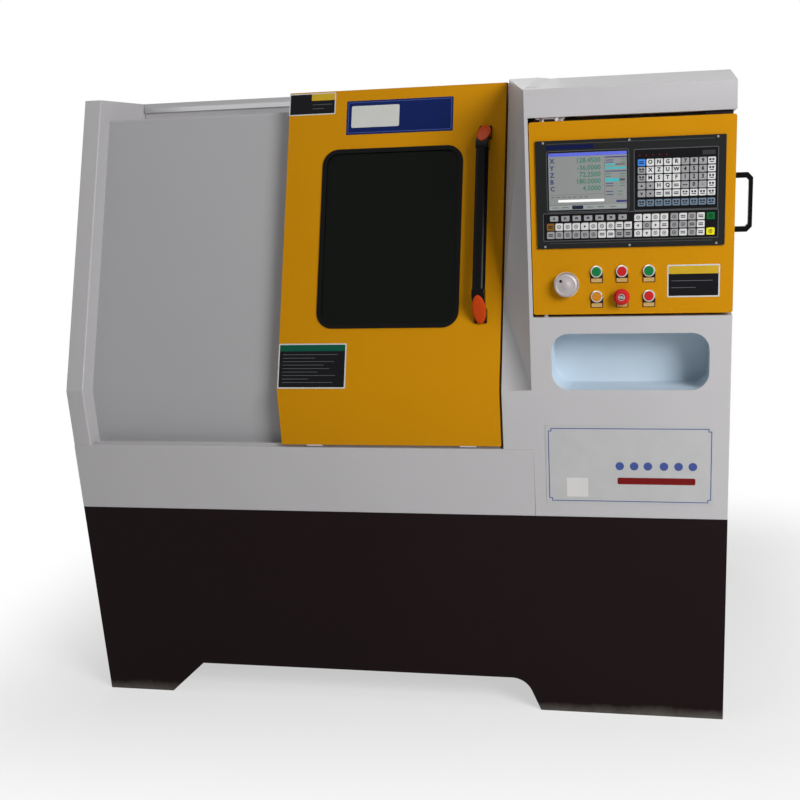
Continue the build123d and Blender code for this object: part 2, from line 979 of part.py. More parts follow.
def headstock():
    """Cast headstock with bores for the spindle and its two bearings."""
    x0, x1 = head_left, head_left + head_length
    head = bed * along_x(head_section(), x0, x1)
    pitch = head_length / (head_fins + 1)
    fin = Pos(0, centre_height) * Circle(head_crown + fin_height)
    for number in range(1, head_fins + 1):
        x = x0 + pitch * number
        head += bed * along_x(fin, x - fin_width / 2, x + fin_width / 2)
    axis = Pos(spindle_y, spindle_z)
    head -= along_x(axis * Circle(spindle_radius + spindle_clear), x0 - seam, x1 + seam)
    for start, stop in bearing_spans():
        head -= along_x(axis * Circle(bearing_radius), start, stop)
    return head


def bearing_spans():
    """Start and stop of the rear and the front bearing seat."""
    x0, x1 = head_left, head_left + head_length
    return [(x0 - seam, x0 + bearing_width), (x1 - bearing_width, x1 + seam)]


def spindle_bearings():
    """Bearing sets at both ends of the headstock."""
    bearings = []
    axis = Pos(spindle_y, spindle_z)
    width = bearing_width - bearing_gap
    for start, stop in bearing_spans():
        middle = (max(start, head_left) + min(stop, head_left + head_length)) / 2
        shape = ring(bearing_radius, spindle_radius + running_gap)
        bearings.append(along_x(axis * shape, middle - width / 2, middle + width / 2))
    return group(bearings)


def spindle():
    """Hollow spindle with its nose flange and a seat for the pulley."""
    axis = Pos(spindle_y, spindle_z)
    nose = chuck_face() - nose_thickness
    left = pulley_left - spindle_tail
    shaft = along_x(axis * Circle(spindle_radius), left, nose)
    shaft += along_x(axis * Circle(nose_radius), nose, nose + nose_thickness)
    return shaft - along_x(axis * Circle(spindle_bore), left - seam, nose + nose_thickness + seam)


def chuck_face():
    return head_left + head_length + nose_start + nose_thickness


def chuck_body():
    """Three-jaw chuck: stepped disc with jaw slots and key sockets."""
    x0 = chuck_face()
    x1 = x0 + chuck_length
    step = (x0 + chuck_step[0], x0 + chuck_step[1])
    axis = Pos(spindle_y, spindle_z)
    body = along_x(axis * Circle(chuck_radius), x0, x1)
    body -= along_x(axis * Circle(chuck_bore), x0 - seam, x1 + seam)
    body -= along_x(axis * ring(chuck_radius + seam, chuck_radius - chuck_step_depth), *step)
    rim = body.edges().filter_by(GeomType.CIRCLE).group_by(Axis.X)[-1].sort_by(SortBy.LENGTH)[-1]
    body = chamfer(rim, chuck_edge)
    slot = block(
        (x1 - jaw_root, x1 + seam),
        (-jaw_width / 2 - slide_gap, jaw_width / 2 + slide_gap),
        (0, chuck_radius + seam),
    )
    socket = block(
        (x0 + socket_place - socket_size / 2, x0 + socket_place + socket_size / 2),
        (-socket_size / 2, socket_size / 2),
        (chuck_radius - socket_depth, chuck_radius + seam),
    )
    for jaw in range(3):
        body -= jaw_place(jaw) * slot
        body -= jaw_place(jaw + 0.5) * socket
    return body


def jaw_place(jaw):
    """Placement that turns a shape drawn upright about the spindle axis."""
    return Pos(0, spindle_y, spindle_z) * Rot(X=120.0 * jaw)


def chuck_jaw(number):
    """Stepped jaw in its radial slot."""
    x1 = chuck_face() + chuck_length
    inner = jaw_inner
    outer = chuck_radius - jaw_travel - jaw_margin
    root = x1 - jaw_root + slide_gap
    steps = outline(
        [
            (root, inner),
            (x1 + jaw_height, inner),
            (x1 + jaw_height, inner + jaw_step),
            (x1 + jaw_height * 2 / 3, inner + jaw_step),
            (x1 + jaw_height * 2 / 3, inner + 2 * jaw_step),
            (x1 + jaw_height / 3, inner + 2 * jaw_step),
            (x1 + jaw_height / 3, outer),
            (root, outer),
        ]
    )
    return jaw_place(number) * along_y(steps, -jaw_width / 2, jaw_width / 2)


def pulley(radius, bore):
    """Flanged belt pulley along X, drawn about the X axis."""
    x0, x1 = pulley_left, pulley_left + pulley_width
    wheel = along_x(Circle(radius), x0, x1)
    wheel += along_x(Circle(radius + flange_height), x0 - pulley_flange, x0)
    wheel += along_x(Circle(radius + flange_height), x1, x1 + pulley_flange)
    return wheel - along_x(Circle(bore), x0 - 2 * pulley_flange, x1 + 2 * pulley_flange)


def spindle_pulley():
    wheel = pulley(spindle_pulley_radius, spindle_radius)
    web = ring(spindle_pulley_radius - pulley_rim, spindle_radius + pulley_rim)
    outside = pulley_left - pulley_flange
    wheel -= along_x(web, outside - seam, outside + pulley_recess)
    return Pos(0, spindle_y, spindle_z) * wheel


def motor_pulley():
    """Motor shaft with its pulley."""
    left = pulley_left - pulley_flange
    shaft = along_x(Circle(motor_shaft), left - seam, motor_left + motor_shaft_bite)
    return Pos(0, motor_y, motor_z) * (pulley(motor_pulley_radius, motor_shaft) + shaft)


def spindle_motor():
    """Foot-mounted spindle motor with cooling ribs and its terminal box."""
    x0 = motor_left
    x1 = x0 + motor_length
    ribbed = (x0 + motor_face, x1 - motor_cowl)
    inner = motor_radius - motor_rib_height
    body = along_x(Circle(inner), x0, x1)
    rib = block(ribbed, (-motor_rib / 2, motor_rib / 2), (inner - seam, motor_radius))
    for number in range(motor_ribs):
        body += Rot(X=360.0 * number / motor_ribs) * rib
    body += along_x(Circle(motor_radius), x0, ribbed[0])
    body += along_x(Circle(motor_radius), ribbed[1], x1)
    box_x = [x0 + motor_length * share for share in terminal_share]
    box_y = (-terminal_width / 2, terminal_width / 2)
    body += block(box_x, box_y, (0, motor_radius + terminal_height))
    feet_x = (x0 + foot_inset, x1 - foot_inset)
    floor = base_height - motor_z
    feet = block(feet_x, (-motor_radius, motor_radius), (floor, floor + foot_height))
    web = block(feet_x, (-foot_web / 2, foot_web / 2), (floor, 0))
    bore = Circle(motor_shaft + running_gap)
    shape = body + feet + web - along_x(bore, x0 - seam, x0 + motor_shaft_bite + seam)
    return Pos(0, motor_y, motor_z) * shape


def belt_loop(extra):
    """Outline around both pulleys, outside their belt faces."""
    small = Pos(motor_y, motor_z) * Circle(motor_pulley_radius + extra)
    large = Pos(spindle_y, spindle_z) * Circle(spindle_pulley_radius + extra)
    return make_hull(small.edges() + large.edges())


def drive_belt():
    """Belt around both pulleys."""
    band = belt_loop(belt_thickness + belt_lift) - belt_loop(belt_lift)
    return along_x(band, pulley_left + belt_inset, pulley_left + pulley_width - belt_inset)


def servo_stack(sections):
    """Servo motor drawn along +Z: flange, body and cap one behind the other."""
    start = 0.0
    motor = Part()
    for width, height, length, corner in sections:
        motor += along_z(RectangleRounded(width, height, corner), start, start + length)
        start += length
    return motor


def z_servo():
    """Servo motor on the bed's left end, in line with the long screw."""
    motor = servo_stack((z_servo_flange, z_servo_body, z_servo_cap))
    bore = along_z(Circle(screw_journal + running_gap), -seam, screw_thread_gap)
    end = Plane(origin=(bed_left, screw_line, -screw_drop), x_dir=(0, 1, 0), z_dir=(-1, 0, 0))
    return bed * (end * (motor - bore))


def screw_supports():
    """Bearing blocks at both ends of the long screw, in the bed's trough."""
    supports = []
    half = trough_width / 2 - support_gap
    hole = Pos(screw_line, -screw_drop) * Circle(screw_journal + running_gap)
    for x0 in (bed_left + support_inset, bed_right - support_inset - support_length):
        x1 = x0 + support_length
        shape = block((x0, x1), (screw_line - half, screw_line + half), (-trough_depth, -support_top))
        supports.append(bed * (shape - along_x(hole, x0 - seam, x1 + seam)))
    return group(supports)


def z_screw():
    """Long ball screw with turned journals."""
    axis = Pos(screw_line, -screw_drop)
    start = bed_left + support_inset + support_length
    end = bed_right - support_inset - support_length
    screw = along_x(axis * Circle(screw_radius), start + seam, end - seam)
    left = bed_left - screw_thread_gap + support_inset / 2
    screw += along_x(axis * Circle(screw_journal), left, bed_right - support_inset / 2)
    return bed * screw


def saddle_centre():
    return saddle_left + saddle_length / 2


def slide_level():
    """Height of the saddle's top over the bed face."""
    return saddle_under + saddle_plate


def saddle():
    """Saddle on four runner blocks, with two ways up the slant and the screw nut."""
    x0, x1 = saddle_left, saddle_left + saddle_length
    top = slide_level()
    body = block((x0, x1), (saddle_low, saddle_high), (saddle_under, top))
    for line in guide_lines:
        for start in (x0 + runner_inset, x1 - runner_inset - runner_length):
            stop = start + runner_length
            across = (line - runner_half, line + runner_half)
            runner = block((start, stop), across, (runner_low, saddle_under))
            clear = along_x(Pos(line, 0) * guide_section(slide_gap), start - seam, stop + seam)
            body += runner - clear
    middle = saddle_centre()
    for side in (-1, 1):
        x = middle + side * way_offset
        way = (x - way_width / 2, x + way_width / 2)
        body += block(way, (way_start, saddle_high - way_end_gap), (top, top + way_height))
    nut_x = (middle - nut_length / 2, middle + nut_length / 2)
    nut_y = (screw_line - nut_half, screw_line + nut_half)
    nut = block(nut_x, nut_y, (nut_foot - trough_depth, saddle_under))
    hole = Pos(screw_line, -screw_drop) * Circle(screw_radius + running_gap)
    body += nut - along_x(hole, nut_x[0] - seam, nut_x[1] + seam)
    bearing_x = (middle - nut_half, middle + nut_half)
    for start, length in ((end_block_start, end_block[0]), (saddle_high - end_block[1], end_block[1])):
        body += block(bearing_x, (start, start + length), (top, top + end_block_height))
    bore = Pos(middle, cross_screw_level()) * Circle(cross_screw_journal + running_gap)
    return bed * (body - along_y(bore, 0, saddle_high + seam))


def cross_screw_level():
    return slide_level() + cross_screw_rise


def x_screw():
    """Short ball screw that runs up the slant on the saddle."""
    axis = Pos(saddle_centre(), cross_screw_level())
    start = end_block_start + end_block[0] + seam
    end = saddle_high - end_block[1] - seam
    screw = along_y(axis * Circle(cross_screw_radius), start, end)
    journal = (end_block_start + seam, saddle_high + cross_screw_end)
    return bed * (screw + along_y(axis * Circle(cross_screw_journal), *journal))


def x_servo():
    """Servo motor at the upper end of the saddle."""
    motor = servo_stack((x_servo_flange, x_servo_body, x_servo_cap))
    bore = along_z(Circle(cross_screw_journal + running_gap), -seam, servo_bite)
    origin = (saddle_centre(), saddle_high, cross_screw_level())
    end = Plane(origin=origin, x_dir=(1, 0, 0), z_dir=(0, 1, 0))
    return bed * (end * (motor - bore))


def turret_axis():
    """Turret centre at rest: up the slant, and over the bed face."""
    return slide_centre, centre_height


def cross_slide():
    """Cross slide on the saddle's ways, cast in one with the turret housing."""
    middle = saddle_centre()
    half = saddle_length / 2 - slide_side_gap
    bottom = slide_level() + slide_lift
    top = slide_level() + way_height + slide_top
    y = (slide_centre - slide_length / 2, slide_centre + slide_length / 2)
    long_y = (y[0] - seam, y[1] + seam)
    body = block((middle - half, middle + half), y, (bottom, top))
    reach = way_width / 2 + slide_gap
    way_z = (bottom - seam, slide_level() + way_height + slide_gap)
    for side in (-1, 1):
        x = middle + side * way_offset
        body -= block((x - reach, x + reach), long_y, way_z)
    channel = (middle - slide_channel / 2, middle + slide_channel / 2)
    channel_top = bottom + slide_channel_height
    body -= block(channel, long_y, (bottom - seam, channel_top))
    nut_x = (middle - slide_nut_width / 2, middle + slide_nut_width / 2)
    nut_y = (slide_centre - slide_nut_length / 2, slide_centre + slide_nut_length / 2)
    nut = block(nut_x, nut_y, (bottom + seam, channel_top + seam))
    hole = Pos(middle, cross_screw_level()) * Circle(cross_screw_radius + running_gap)
    body += nut - along_y(hole, nut_y[0] - seam, nut_y[1] + seam)
    centre = Pos(*turret_axis())
    x0 = saddle_left + turret_inset[0]
    x1 = saddle_left + saddle_length - turret_inset[1]
    wide = (slide_centre - turret_body_width / 2, slide_centre + turret_body_width / 2)
    body += along_x(centre * Circle(turret_body_radius), x0, x1 - turret_cap)
    body += block((x0, x1 - turret_cap), wide, (top - seam, centre_height))
    body += along_x(centre * Circle(turret_cap_radius), x1 - turret_cap, x1)
    shaft_hole = centre * Circle(turret_shaft + running_gap)
    return bed * (body - along_x(shaft_hole, x0 - seam, x0 + turret_shaft_bite))


def station_place(station):
    """Placement of a turret station drawn along -u, which points at the spindle."""
    centre = turret_axis()
    step = 360.0 / turret_stations
    return Pos(0, centre[0], centre[1]) * Rot(X=step * station)


def disc_right():
    return saddle_left - turret_overhang


def turret_disc():
    """Eight-sided tool disc on its indexing shaft."""
    x1 = disc_right()
    x0 = x1 - turret_thickness
    centre = Pos(*turret_axis())
    turn = 180.0 / turret_stations
    shape = Rot(Z=turn) * RegularPolygon(turret_radius, turret_stations, major_radius=False)
    disc = along_x(centre * shape, x0, x1)
    disc += along_x(centre * Circle(turret_hub[0]), x0 - turret_hub[1], x0)
    disc += along_x(centre * Circle(turret_collar[0]), x1, x1 + turret_collar[1])
    disc += along_x(centre * Circle(turret_shaft), x1, saddle_left + turret_shaft_bite)
    half = tool_shank / 2 + slot_side
    slot = block(
        (x0 - seam, x0 + slot_depth), (-turret_radius - seam, -slot_bottom), (-half, half)
    )
    for station in range(0, turret_stations, 2):
        disc -= station_place(station) * slot
    return bed * disc


def turning_tool(face):
    """Square-shank tool with its tip and clamping wedge, on one side of the disc."""
    half = tool_shank / 2
    end = -turret_radius - tool_reach
    shank = block((face + skin, face + skin + tool_shank), (end, -tool_root), (-half, half))
    wedge = block(
        (face - wedge_proud, face + tool_shank),
        (wedge_proud - turret_radius, -tool_root),
        (half, half + wedge_width),
    )
    tip_width, tip_length, tip_height = tip_size
    tip = block((face - tip_height, face + tip_width - tip_height), (end, end + tip_length),
                (half - tip_height, half))
    return shank + wedge + tip


def tool_socket(face):
    """Round socket for a drill, with its flange on the disc's face."""
    bore, outside, flange = socket_radii
    axis = Pos(-socket_circle, 0)
    socket = along_x(axis * ring(outside, bore), face - socket_lengths[0], face)
    return socket + along_x(axis * ring(flange, bore), face - socket_lengths[1], face)


def tool_holders():
    """Turning tools with their clamping wedges, and short sockets between them."""
    face = disc_right() - turret_thickness
    shapes = (turning_tool(face), tool_socket(face))
    stations = range(turret_stations)
    return group([bed * (station_place(station) * shapes[station % 2]) for station in stations])


def work_light():
    """Sealed strip light under the shelf, over the chuck."""
    front_y = shelf_front() + light_setback
    lamp = block(
        (jamb_x - light_left, jamb_x - light_right),
        (front_y, front_y + light_width),
        (fixed_panel_top - light_height, fixed_panel_top),
    )
    edges = lamp.edges().filter_by(Axis.X).group_by(Axis.Z)[0]
    return chamfer(edges, light_edge)


def open_pan(x, y, z):
    """Sheet pan, open at its top."""
    pan = block(x, y, z)
    inner = (x[0] + sheet, x[1] - sheet), (y[0] + sheet, y[1] - sheet), (z[0] + sheet, z[1] + seam)
    return pan - block(*inner)


def chip_tray():
    """Pan in front of the bed that catches chips and lets the coolant drain."""
    x = (tray_left, cabinet_left - tray_right_gap)
    y = (tray_front, bed_front - tray_back_gap)
    pan = open_pan(x, y, (base_height, base_height + tray_height))
    slot = Rectangle(tray_slot_length, tray_slot_width)
    for column in range(tray_slot_count[0]):
        for row in range(tray_slot_count[1]):
            centre_x = tray_left + tray_slot_place[0] + column * tray_slot_pitch[0]
            centre_y = tray_front + tray_slot_place[1] + row * tray_slot_pitch[1]
            hole = Pos(centre_x, centre_y) * slot
            pan -= along_z(hole, base_height - seam, base_height + sheet + seam)
    return pan


def coolant_tank():
    """Open tank on runners in the base, with its front plate at the rear."""
    x = (tank_left, tank_left + tank_width)
    back = machine_depth - base_wall
    top = tank_bottom + tank_height
    tank = open_pan(x, (back - tank_depth, back), (tank_bottom, top))
    deck = block((x[1] - tank_deck, x[1]), (back - tank_deck, back), (top - sheet, top))
    hole = along_z(Pos(*pump_place()) * Circle(pump_hole), top - sheet - seam, top + seam)
    tank += deck - hole
    slot = Rectangle(tank_slot_width, tank_slot_height)
    grip = Pos((x[0] + x[1]) / 2, top - tank_slot_drop) * slot
    return tank - along_y(grip, back - sheet - seam, back + seam)


def pump_place():
    return tank_left + tank_width - pump_inset, machine_depth - base_wall - pump_inset


def coolant_pump():
    """Immersion pump standing on the tank's deck."""
    x, y = pump_place()
    deck = tank_bottom + tank_height
    axis = Pos(x, y)
    pump = along_z(axis * Circle(pump_stem[0]), deck - pump_stem[1], deck)
    level = deck
    for radius, length in (pump_flange, pump_motor, pump_cap):
        pump += along_z(axis * Circle(radius), level, level + length)
        level += length
    outlet = Pos(x - outlet_offset, deck + outlet_rise) * Circle(outlet_radius)
    return pump + along_y(outlet, y - outlet_length / 2, y + outlet_length / 2)


def board_units(face, level, size, count, pitch):
    """Row of equal boxes on the mounting plate; each size is width, depth and height."""
    width, depth, height = size
    left = hatch_front + board_inset + unit_inset
    starts = [left + unit * pitch for unit in range(count)]
    return [block((face, face + depth), (y, y + width), (level, level + height)) for y in starts]


def electrical_equipment():
    """Mounting plate with drives, contactors, ducts and a transformer."""
    x0 = cabinet_left + board_gap
    face = x0 + sheet
    y = (hatch_front + board_inset, hatch_back - board_inset)
    z = (hatch_bottom + board_inset, hatch_top - board_inset)
    plate = block((x0, face), y, z)
    strut_z = (z[0] - board_strut_reach, z[1] + board_strut_reach)
    for start in (y[0] + board_inset, y[1] - board_inset - board_strut):
        plate += block((cabinet_left + sheet, x0), (start, start + board_strut), strut_z)
    duct_levels = [z[0] + (z[1] - z[0]) * share for share in duct_shares]
    parts = [plate]
    duct_y = (y[0] + board_inset, y[1] - board_inset)
    for level in duct_levels:
        parts.append(block((face, face + duct_depth), duct_y, (level, level + duct_width)))
    low, middle, high = [level + duct_width + unit_lift for level in duct_levels[:3]]
    parts += board_units(face, high, drive_size, drive_count, drive_pitch)
    parts += board_units(face, middle, contactor_size, contactor_count, contactor_pitch)
    parts += board_units(face, low, transformer_size, 1, 0)
    last = (duct_y[1] - supply_size[0], duct_y[1])
    parts.append(block((face, face + supply_size[1]), last, (high, high + supply_size[2])))
    last = (duct_y[1] - filter_size[0], duct_y[1])
    parts.append(block((face, face + filter_size[1]), last, (low, low + filter_size[2])))
    return group(parts)


def door_panel():
    """Folded door pan with a frame round the window and bosses for the running gear."""
    x = (door_left, door_right)
    z = (door_bottom, door_top)
    pan = front_wall(x, (0, door_thickness), z)
    hollow = (x[0] + skin, x[1] - skin)
    pan -= front_wall(hollow, (skin, door_thickness + seam), (z[0] + skin, z[1] - skin))
    frame = window_shape(window_frame) - window_shape(0)
    pan += front * extrude(frame, amount=-door_thickness)
    pan -= front * Pos(0, 0, seam) * extrude(window_shape(0), amount=-door_thickness - 2 * seam)
    for centre in carriage_places():
        boss_x = (centre - boss_width / 2, centre + boss_width / 2)
        boss_z = (door_top - boss_drop - boss_height, door_top - boss_drop)
        pan += leaning_block(boss_x, (skin - seam, door_thickness), boss_z)
    return pan


def window_shape(grow):
    """Window outline on the leaning part of the door, grown all round."""
    x = door_left + window_side + window_width / 2
    y = window_start + window_height / 2
    size = (window_width + 2 * grow, window_height + 2 * grow)
    return Pos(x, y) * RectangleRounded(*size, window_corner + grow)


def leaning_block(x, offsets, z):
    """Block between two setbacks from the leaning front and two level faces."""
    near, far = offsets
    points = [
        (lean_y(z[0], near), z[0]),
        (lean_y(z[1], near), z[1]),
        (lean_y(z[1], far), z[1]),
        (lean_y(z[0], far), z[0]),
    ]
    return along_x(outline(points), *x)


def window_seal():
    """Rubber profile that grips the door skin and holds the pane."""
    web = window_shape(0) - window_shape(-seal_web)
    lip = window_shape(seal_lip) - window_shape(-seal_web)
    front_lip = extrude(lip, amount=seal_proud)
    body = extrude(web, amount=-door_thickness)
    return front * (front_lip + body - pane())


def pane():
    """Window pane in the frame of the leaning front."""
    return Pos(0, 0, -skin) * extrude(window_shape(seal_bite - seal_web), amount=-glass_thickness)


def window_glass():
    """Laminated pane seated in the seal's groove."""
    return front * pane()


def handle_centre_x():
    return door_right - handle_from_right


def oval(grow=0.0):
    return Ellipse(handle_width / 2 + grow, handle_depth / 2 + grow)


def handle_plane(tip, direction):
    """Plane across the handle's tube at one place along the slope."""
    origin = (handle_centre_x(), tip, handle_standoff)
    return Plane(origin=origin, x_dir=(1, 0, 0), z_dir=(0, direction, 0))


def door_handle_bar():
    """Straight oval tube between the elbow ends."""
    tube = handle_plane(handle_start + handle_foot, 1) * oval()
    return front * extrude(tube, amount=handle_length - 2 * handle_foot)


def handle_end(side):
    """Elbow that carries the tube, before its outer corner is cut off."""
    tip = handle_start if side < 0 else handle_start + handle_length
    bar = extrude(handle_plane(tip, -side) * oval(handle_sleeve), amount=handle_foot)
    middle = tip - side * handle_foot / 2
    foot = Pos(handle_centre_x(), middle) * RectangleRounded(leg_width, leg_length, leg_corner)
    return bar + extrude(foot, amount=handle_standoff), tip


def corner_slice(side, tip, thickness):
    """Slab on the slanted cut across the elbow's outer corner."""
    origin = (handle_centre_x(), tip - side * cap_corner, handle_standoff + cap_lift)
    normal = (0, side * sin(radians(45)), cos(radians(45)))
    cut = Plane(origin=origin, x_dir=(1, 0, 0), z_dir=normal)
    size = 3 * handle_foot
    return cut * Pos(0, 0, thickness / 2) * Box(size, size, thickness)


def door_handle_ends():
    ends = []
    for side in (-1, 1):
        solid, tip = handle_end(side)
        ends.append(front * (solid - corner_slice(side, tip, handle_standoff)))
    return group(ends)


def door_handle_caps():
    """Coloured covers over the cut corners of the handle's ends."""
    caps = []
    for side in (-1, 1):
        solid, tip = handle_end(side)
        caps.append(front * (solid & corner_slice(side, tip, cap_thickness)))
    return group(caps)


def carriage_places():
    return (door_left + carriage_inset, door_right - carriage_inset)


def carriage_arm(x, face):
    """Angle bracket from the door's boss back to its carriage on the rail."""
    middle = rail_level + rail_height / 2
    low = fixed_panel_top + 2 * sheet
    bottom = middle - arm_thickness / 2
    top = middle + arm_thickness / 2
    near, far = door_thickness, door_thickness + arm_thickness
    points = [
        (lean_y(low, near), low),
        (lean_y(low, far), low),
        (lean_y(bottom, far), bottom),
        (face, bottom),
        (face, top),
        (lean_y(top, near), top),
    ]
    return along_x(outline(points), *x)


def door_carriages():
    """Two rail carriages on their arms, and two shoes on the lower guide."""
    pieces = []
    middle = rail_level + rail_height / 2
    back = beam_setback - carriage_gap
    face = back - carriage_depth
    guide_y = (door_thickness - guide_strip) / 2
    for centre in carriage_places():
        x = (centre - carriage_length / 2, centre + carriage_length / 2)
        long_x = (x[0] - seam, x[1] + seam)
        z = (middle - carriage_height / 2, middle + carriage_height / 2)
        clear = block(
            long_x,
            (beam_setback - rail_depth - slide_gap, beam_setback),
            (rail_level - slide_gap, rail_level + rail_height + slide_gap),
        )
        pieces.append(block(x, (face, back), z) - clear + carriage_arm(x, face))
        shoe_y = (guide_y - shoe_wall, guide_y + guide_strip + shoe_wall)
        shoe = block(x, shoe_y, (sill_height + shoe_lift, door_bottom))
        slot = block(
            long_x,
            (guide_y - slide_gap, guide_y + guide_strip + slide_gap),
            (sill_height, sill_height + guide_height + slide_gap),
        )
        pieces.append(shoe - slot)
    return group(pieces)


def box_sketch(grow):
    width = machine_width - box_left + 2 * grow
    height = box_top - box_bottom + 2 * grow
    centre = Pos((box_left + machine_width) / 2, (box_bottom + box_top) / 2)
    return centre * RectangleRounded(width, height, box_corner + grow)


def controller_opening(grow):
    width = panel_width - 2 * controller_margin + 2 * grow
    height = panel_height - 2 * controller_margin + 2 * grow
    return Pos(*panel_centre()) * Rectangle(width, height)


def panel_centre():
    return (
        cabinet_left + panel_left + panel_width / 2,
        panel_bottom + panel_height / 2,
    )


def control_places():
    """Centres of the six push controls, row by row."""
    return [(cabinet_left + x, bay_bottom + z) for z in button_rows for x in button_columns]


def operator_box():
    """Folded box that carries the controls and swings on two pins."""
    box = along_y(box_sketch(0), 0, box_depth)
    box -= along_y(box_sketch(-skin), skin, box_depth + seam)
    box -= along_y(controller_opening(0), -seam, skin + seam)
    for x, z in control_places():
        box -= along_y(Pos(x, z) * Circle(neck_radius), -seam, skin + seam)
    wheel = Pos(cabinet_left + handwheel_x, handwheel_z)
    box -= along_y(wheel * Circle(encoder_radius), -seam, skin + seam)
    pin = Pos(box_left + pivot_inset, pivot_setback)
    sleeve = pivot_bite + pivot_wall
    for z0, z1 in ((box_bottom + skin, box_bottom + sleeve), (box_top - sleeve, box_top - skin)):
        box += along_z(pin * Circle(pivot_radius + pivot_wall), z0, z1)
    hole = pin * Circle(pivot_radius + running_gap)
    box -= along_z(hole, box_bottom - seam, box_bottom + pivot_bite + seam)
    box -= along_z(hole, box_top - pivot_bite - seam, box_top + seam)
    return box


def control_panel():
    """Fascia of the controller with the case behind it."""
    centre = Pos(*panel_centre())
    face = centre * RectangleRounded(panel_width, panel_height, panel_corner)
    fascia = along_y(face, -panel_proud, 0)
    case = along_y(controller_opening(0), 0, controller_depth)
    pocket = along_y(screen_sketch(), -panel_proud - seam, -panel_proud + screen_recess)
    return fascia + case - pocket


def screen_sketch():
    x = cabinet_left + screen_left + screen_width / 2
    return Pos(x, screen_bottom + screen_height / 2) * Rectangle(screen_width, screen_height)


def display():
    """Screen in the pocket of the fascia."""
    return along_y(screen_sketch(), -panel_proud + screen_sink, -panel_proud + screen_recess)


def key_fields():
    """Fields of keys: left and right, lower and upper limits, columns and rows."""
    return [
        (letter_keys, letter_rows, 9, 5),
        (letter_keys, function_rows, 9, 1),
        (soft_keys, soft_rows, 7, 1),
        (mode_keys, mode_rows, 10, 2),
        (feed_keys, feed_rows, 4, 3),
        (axis_keys, feed_rows, 4, 3),
        (cycle_keys, start_rows, 1, 1),
        (cycle_keys, hold_rows, 1, 1),
    ]


def key_pads():
    """Caps of the sealed keyboard, one solid for each key."""
    keys = []
    for (x0, x1), (z0, z1), columns, rows in key_fields():
        pitch_x = (x1 - x0) / columns
        pitch_z = (z1 - z0) / rows
        cap = Rectangle(pitch_x - key_gap, pitch_z - key_gap)
        for column in range(columns):
            for row in range(rows):
                x = cabinet_left + x0 + (column + 0.5) * pitch_x
                z = bay_bottom + z0 + (row + 0.5) * pitch_z
                keys.append(along_y(Pos(x, z) * cap, -panel_proud - key_height, -panel_proud))
    return group(keys)


def control_bezels():
    """Threaded bezels of the push controls and the handwheel's encoder."""
    bezels = []
    rim = along_y(Circle(bezel_radius), -bezel_height, 0)
    edge = rim.edges().filter_by(GeomType.CIRCLE).group_by(Axis.Y)[0]
    rim = chamfer(edge, bezel_edge) - along_y(Circle(cap_radius + cap_gap), -bezel_height, -neck_ledge)
    neck = along_y(Circle(neck_radius), 0, neck_length)
    nut = along_y(RegularPolygon(bezel_radius, 6), skin, skin + bezel_nut)
    bore = along_y(Circle(stem_radius + cap_gap), -bezel_height, neck_length + seam)
    bezel = rim + neck + nut - bore
    for x, z in control_places():
        bezels.append(Pos(x, 0, z) * bezel)
    wheel = Pos(cabinet_left + handwheel_x, handwheel_z)
    hole = shaft_radius + running_gap
    encoder = along_y(wheel * ring(encoder_radius, hole), 0, encoder_depth)
    collar = wheel * ring(handwheel_radius + encoder_flange, hole)
    bezels.append(encoder + along_y(collar, -encoder_flange, 0))
    return group(bezels)


def push_button(index):
    """Round cap on a stem that slides in its bezel."""
    x, z = control_places()[index]
    centre = Pos(x, z)
    back = -neck_ledge - button_travel - slide_gap
    cap = along_y(centre * Circle(cap_radius), -cap_proud, back)
    rim = cap.edges().filter_by(GeomType.CIRCLE).group_by(Axis.Y)[0]
    stem = along_y(centre * Circle(stem_radius), back, neck_length - button_travel - seam)
    return chamfer(rim, cap_edge) + stem


def emergency_stop():
    """Mushroom head on its stem."""
    x, z = control_places()[4]
    base = -bezel_height - stop_travel - seam
    top = mushroom_radius * 0.7
    low, high = mushroom_rim
    head = outline(
        [
            (0, 0),
            (top, 0),
            (mushroom_radius, low),
            (mushroom_radius, high),
            (top, mushroom_height),
            (0, mushroom_height),
        ]
    )
    dome = revolve(Plane.XZ * head, axis=Axis.Z)
    dome = Pos(x, base, z) * Rot(X=90) * dome
    return dome + along_y(Pos(x, z) * Circle(stem_radius), base, neck_length - 2 * stop_travel)


def handwheel():
    """Turned handwheel with its finger knob, on the encoder shaft."""
    x, z = cabinet_left + handwheel_x, handwheel_z
    back = -encoder_flange - handwheel_gap
    front_y = back - handwheel_thickness
    wheel = along_y(Circle(handwheel_radius), front_y, back)
    rim = wheel.edges().filter_by(GeomType.CIRCLE).group_by(Axis.Y)[0]
    wheel = chamfer(rim, handwheel_edge)
    dish = ring(handwheel_radius - handwheel_rim, handwheel_hub)
    wheel -= along_y(dish, front_y - seam, front_y + handwheel_dish)
    notch = Pos(handwheel_radius, 0) * Rot(Z=45) * Rectangle(notch_size, notch_size)
    groove = along_y(notch, front_y + handwheel_edge, back + seam)
    for number in range(handwheel_notches):
        wheel -= Rot(Y=360.0 * number / handwheel_notches) * groove
    knob = Pos(-knob_offset, knob_offset) * Circle(knob_radius)
    wheel += along_y(knob, front_y - knob_height, front_y + 2 * handwheel_dish)
    wheel += along_y(Circle(shaft_radius), back, encoder_depth - shaft_radius)
    return Pos(x, 0, z) * wheel


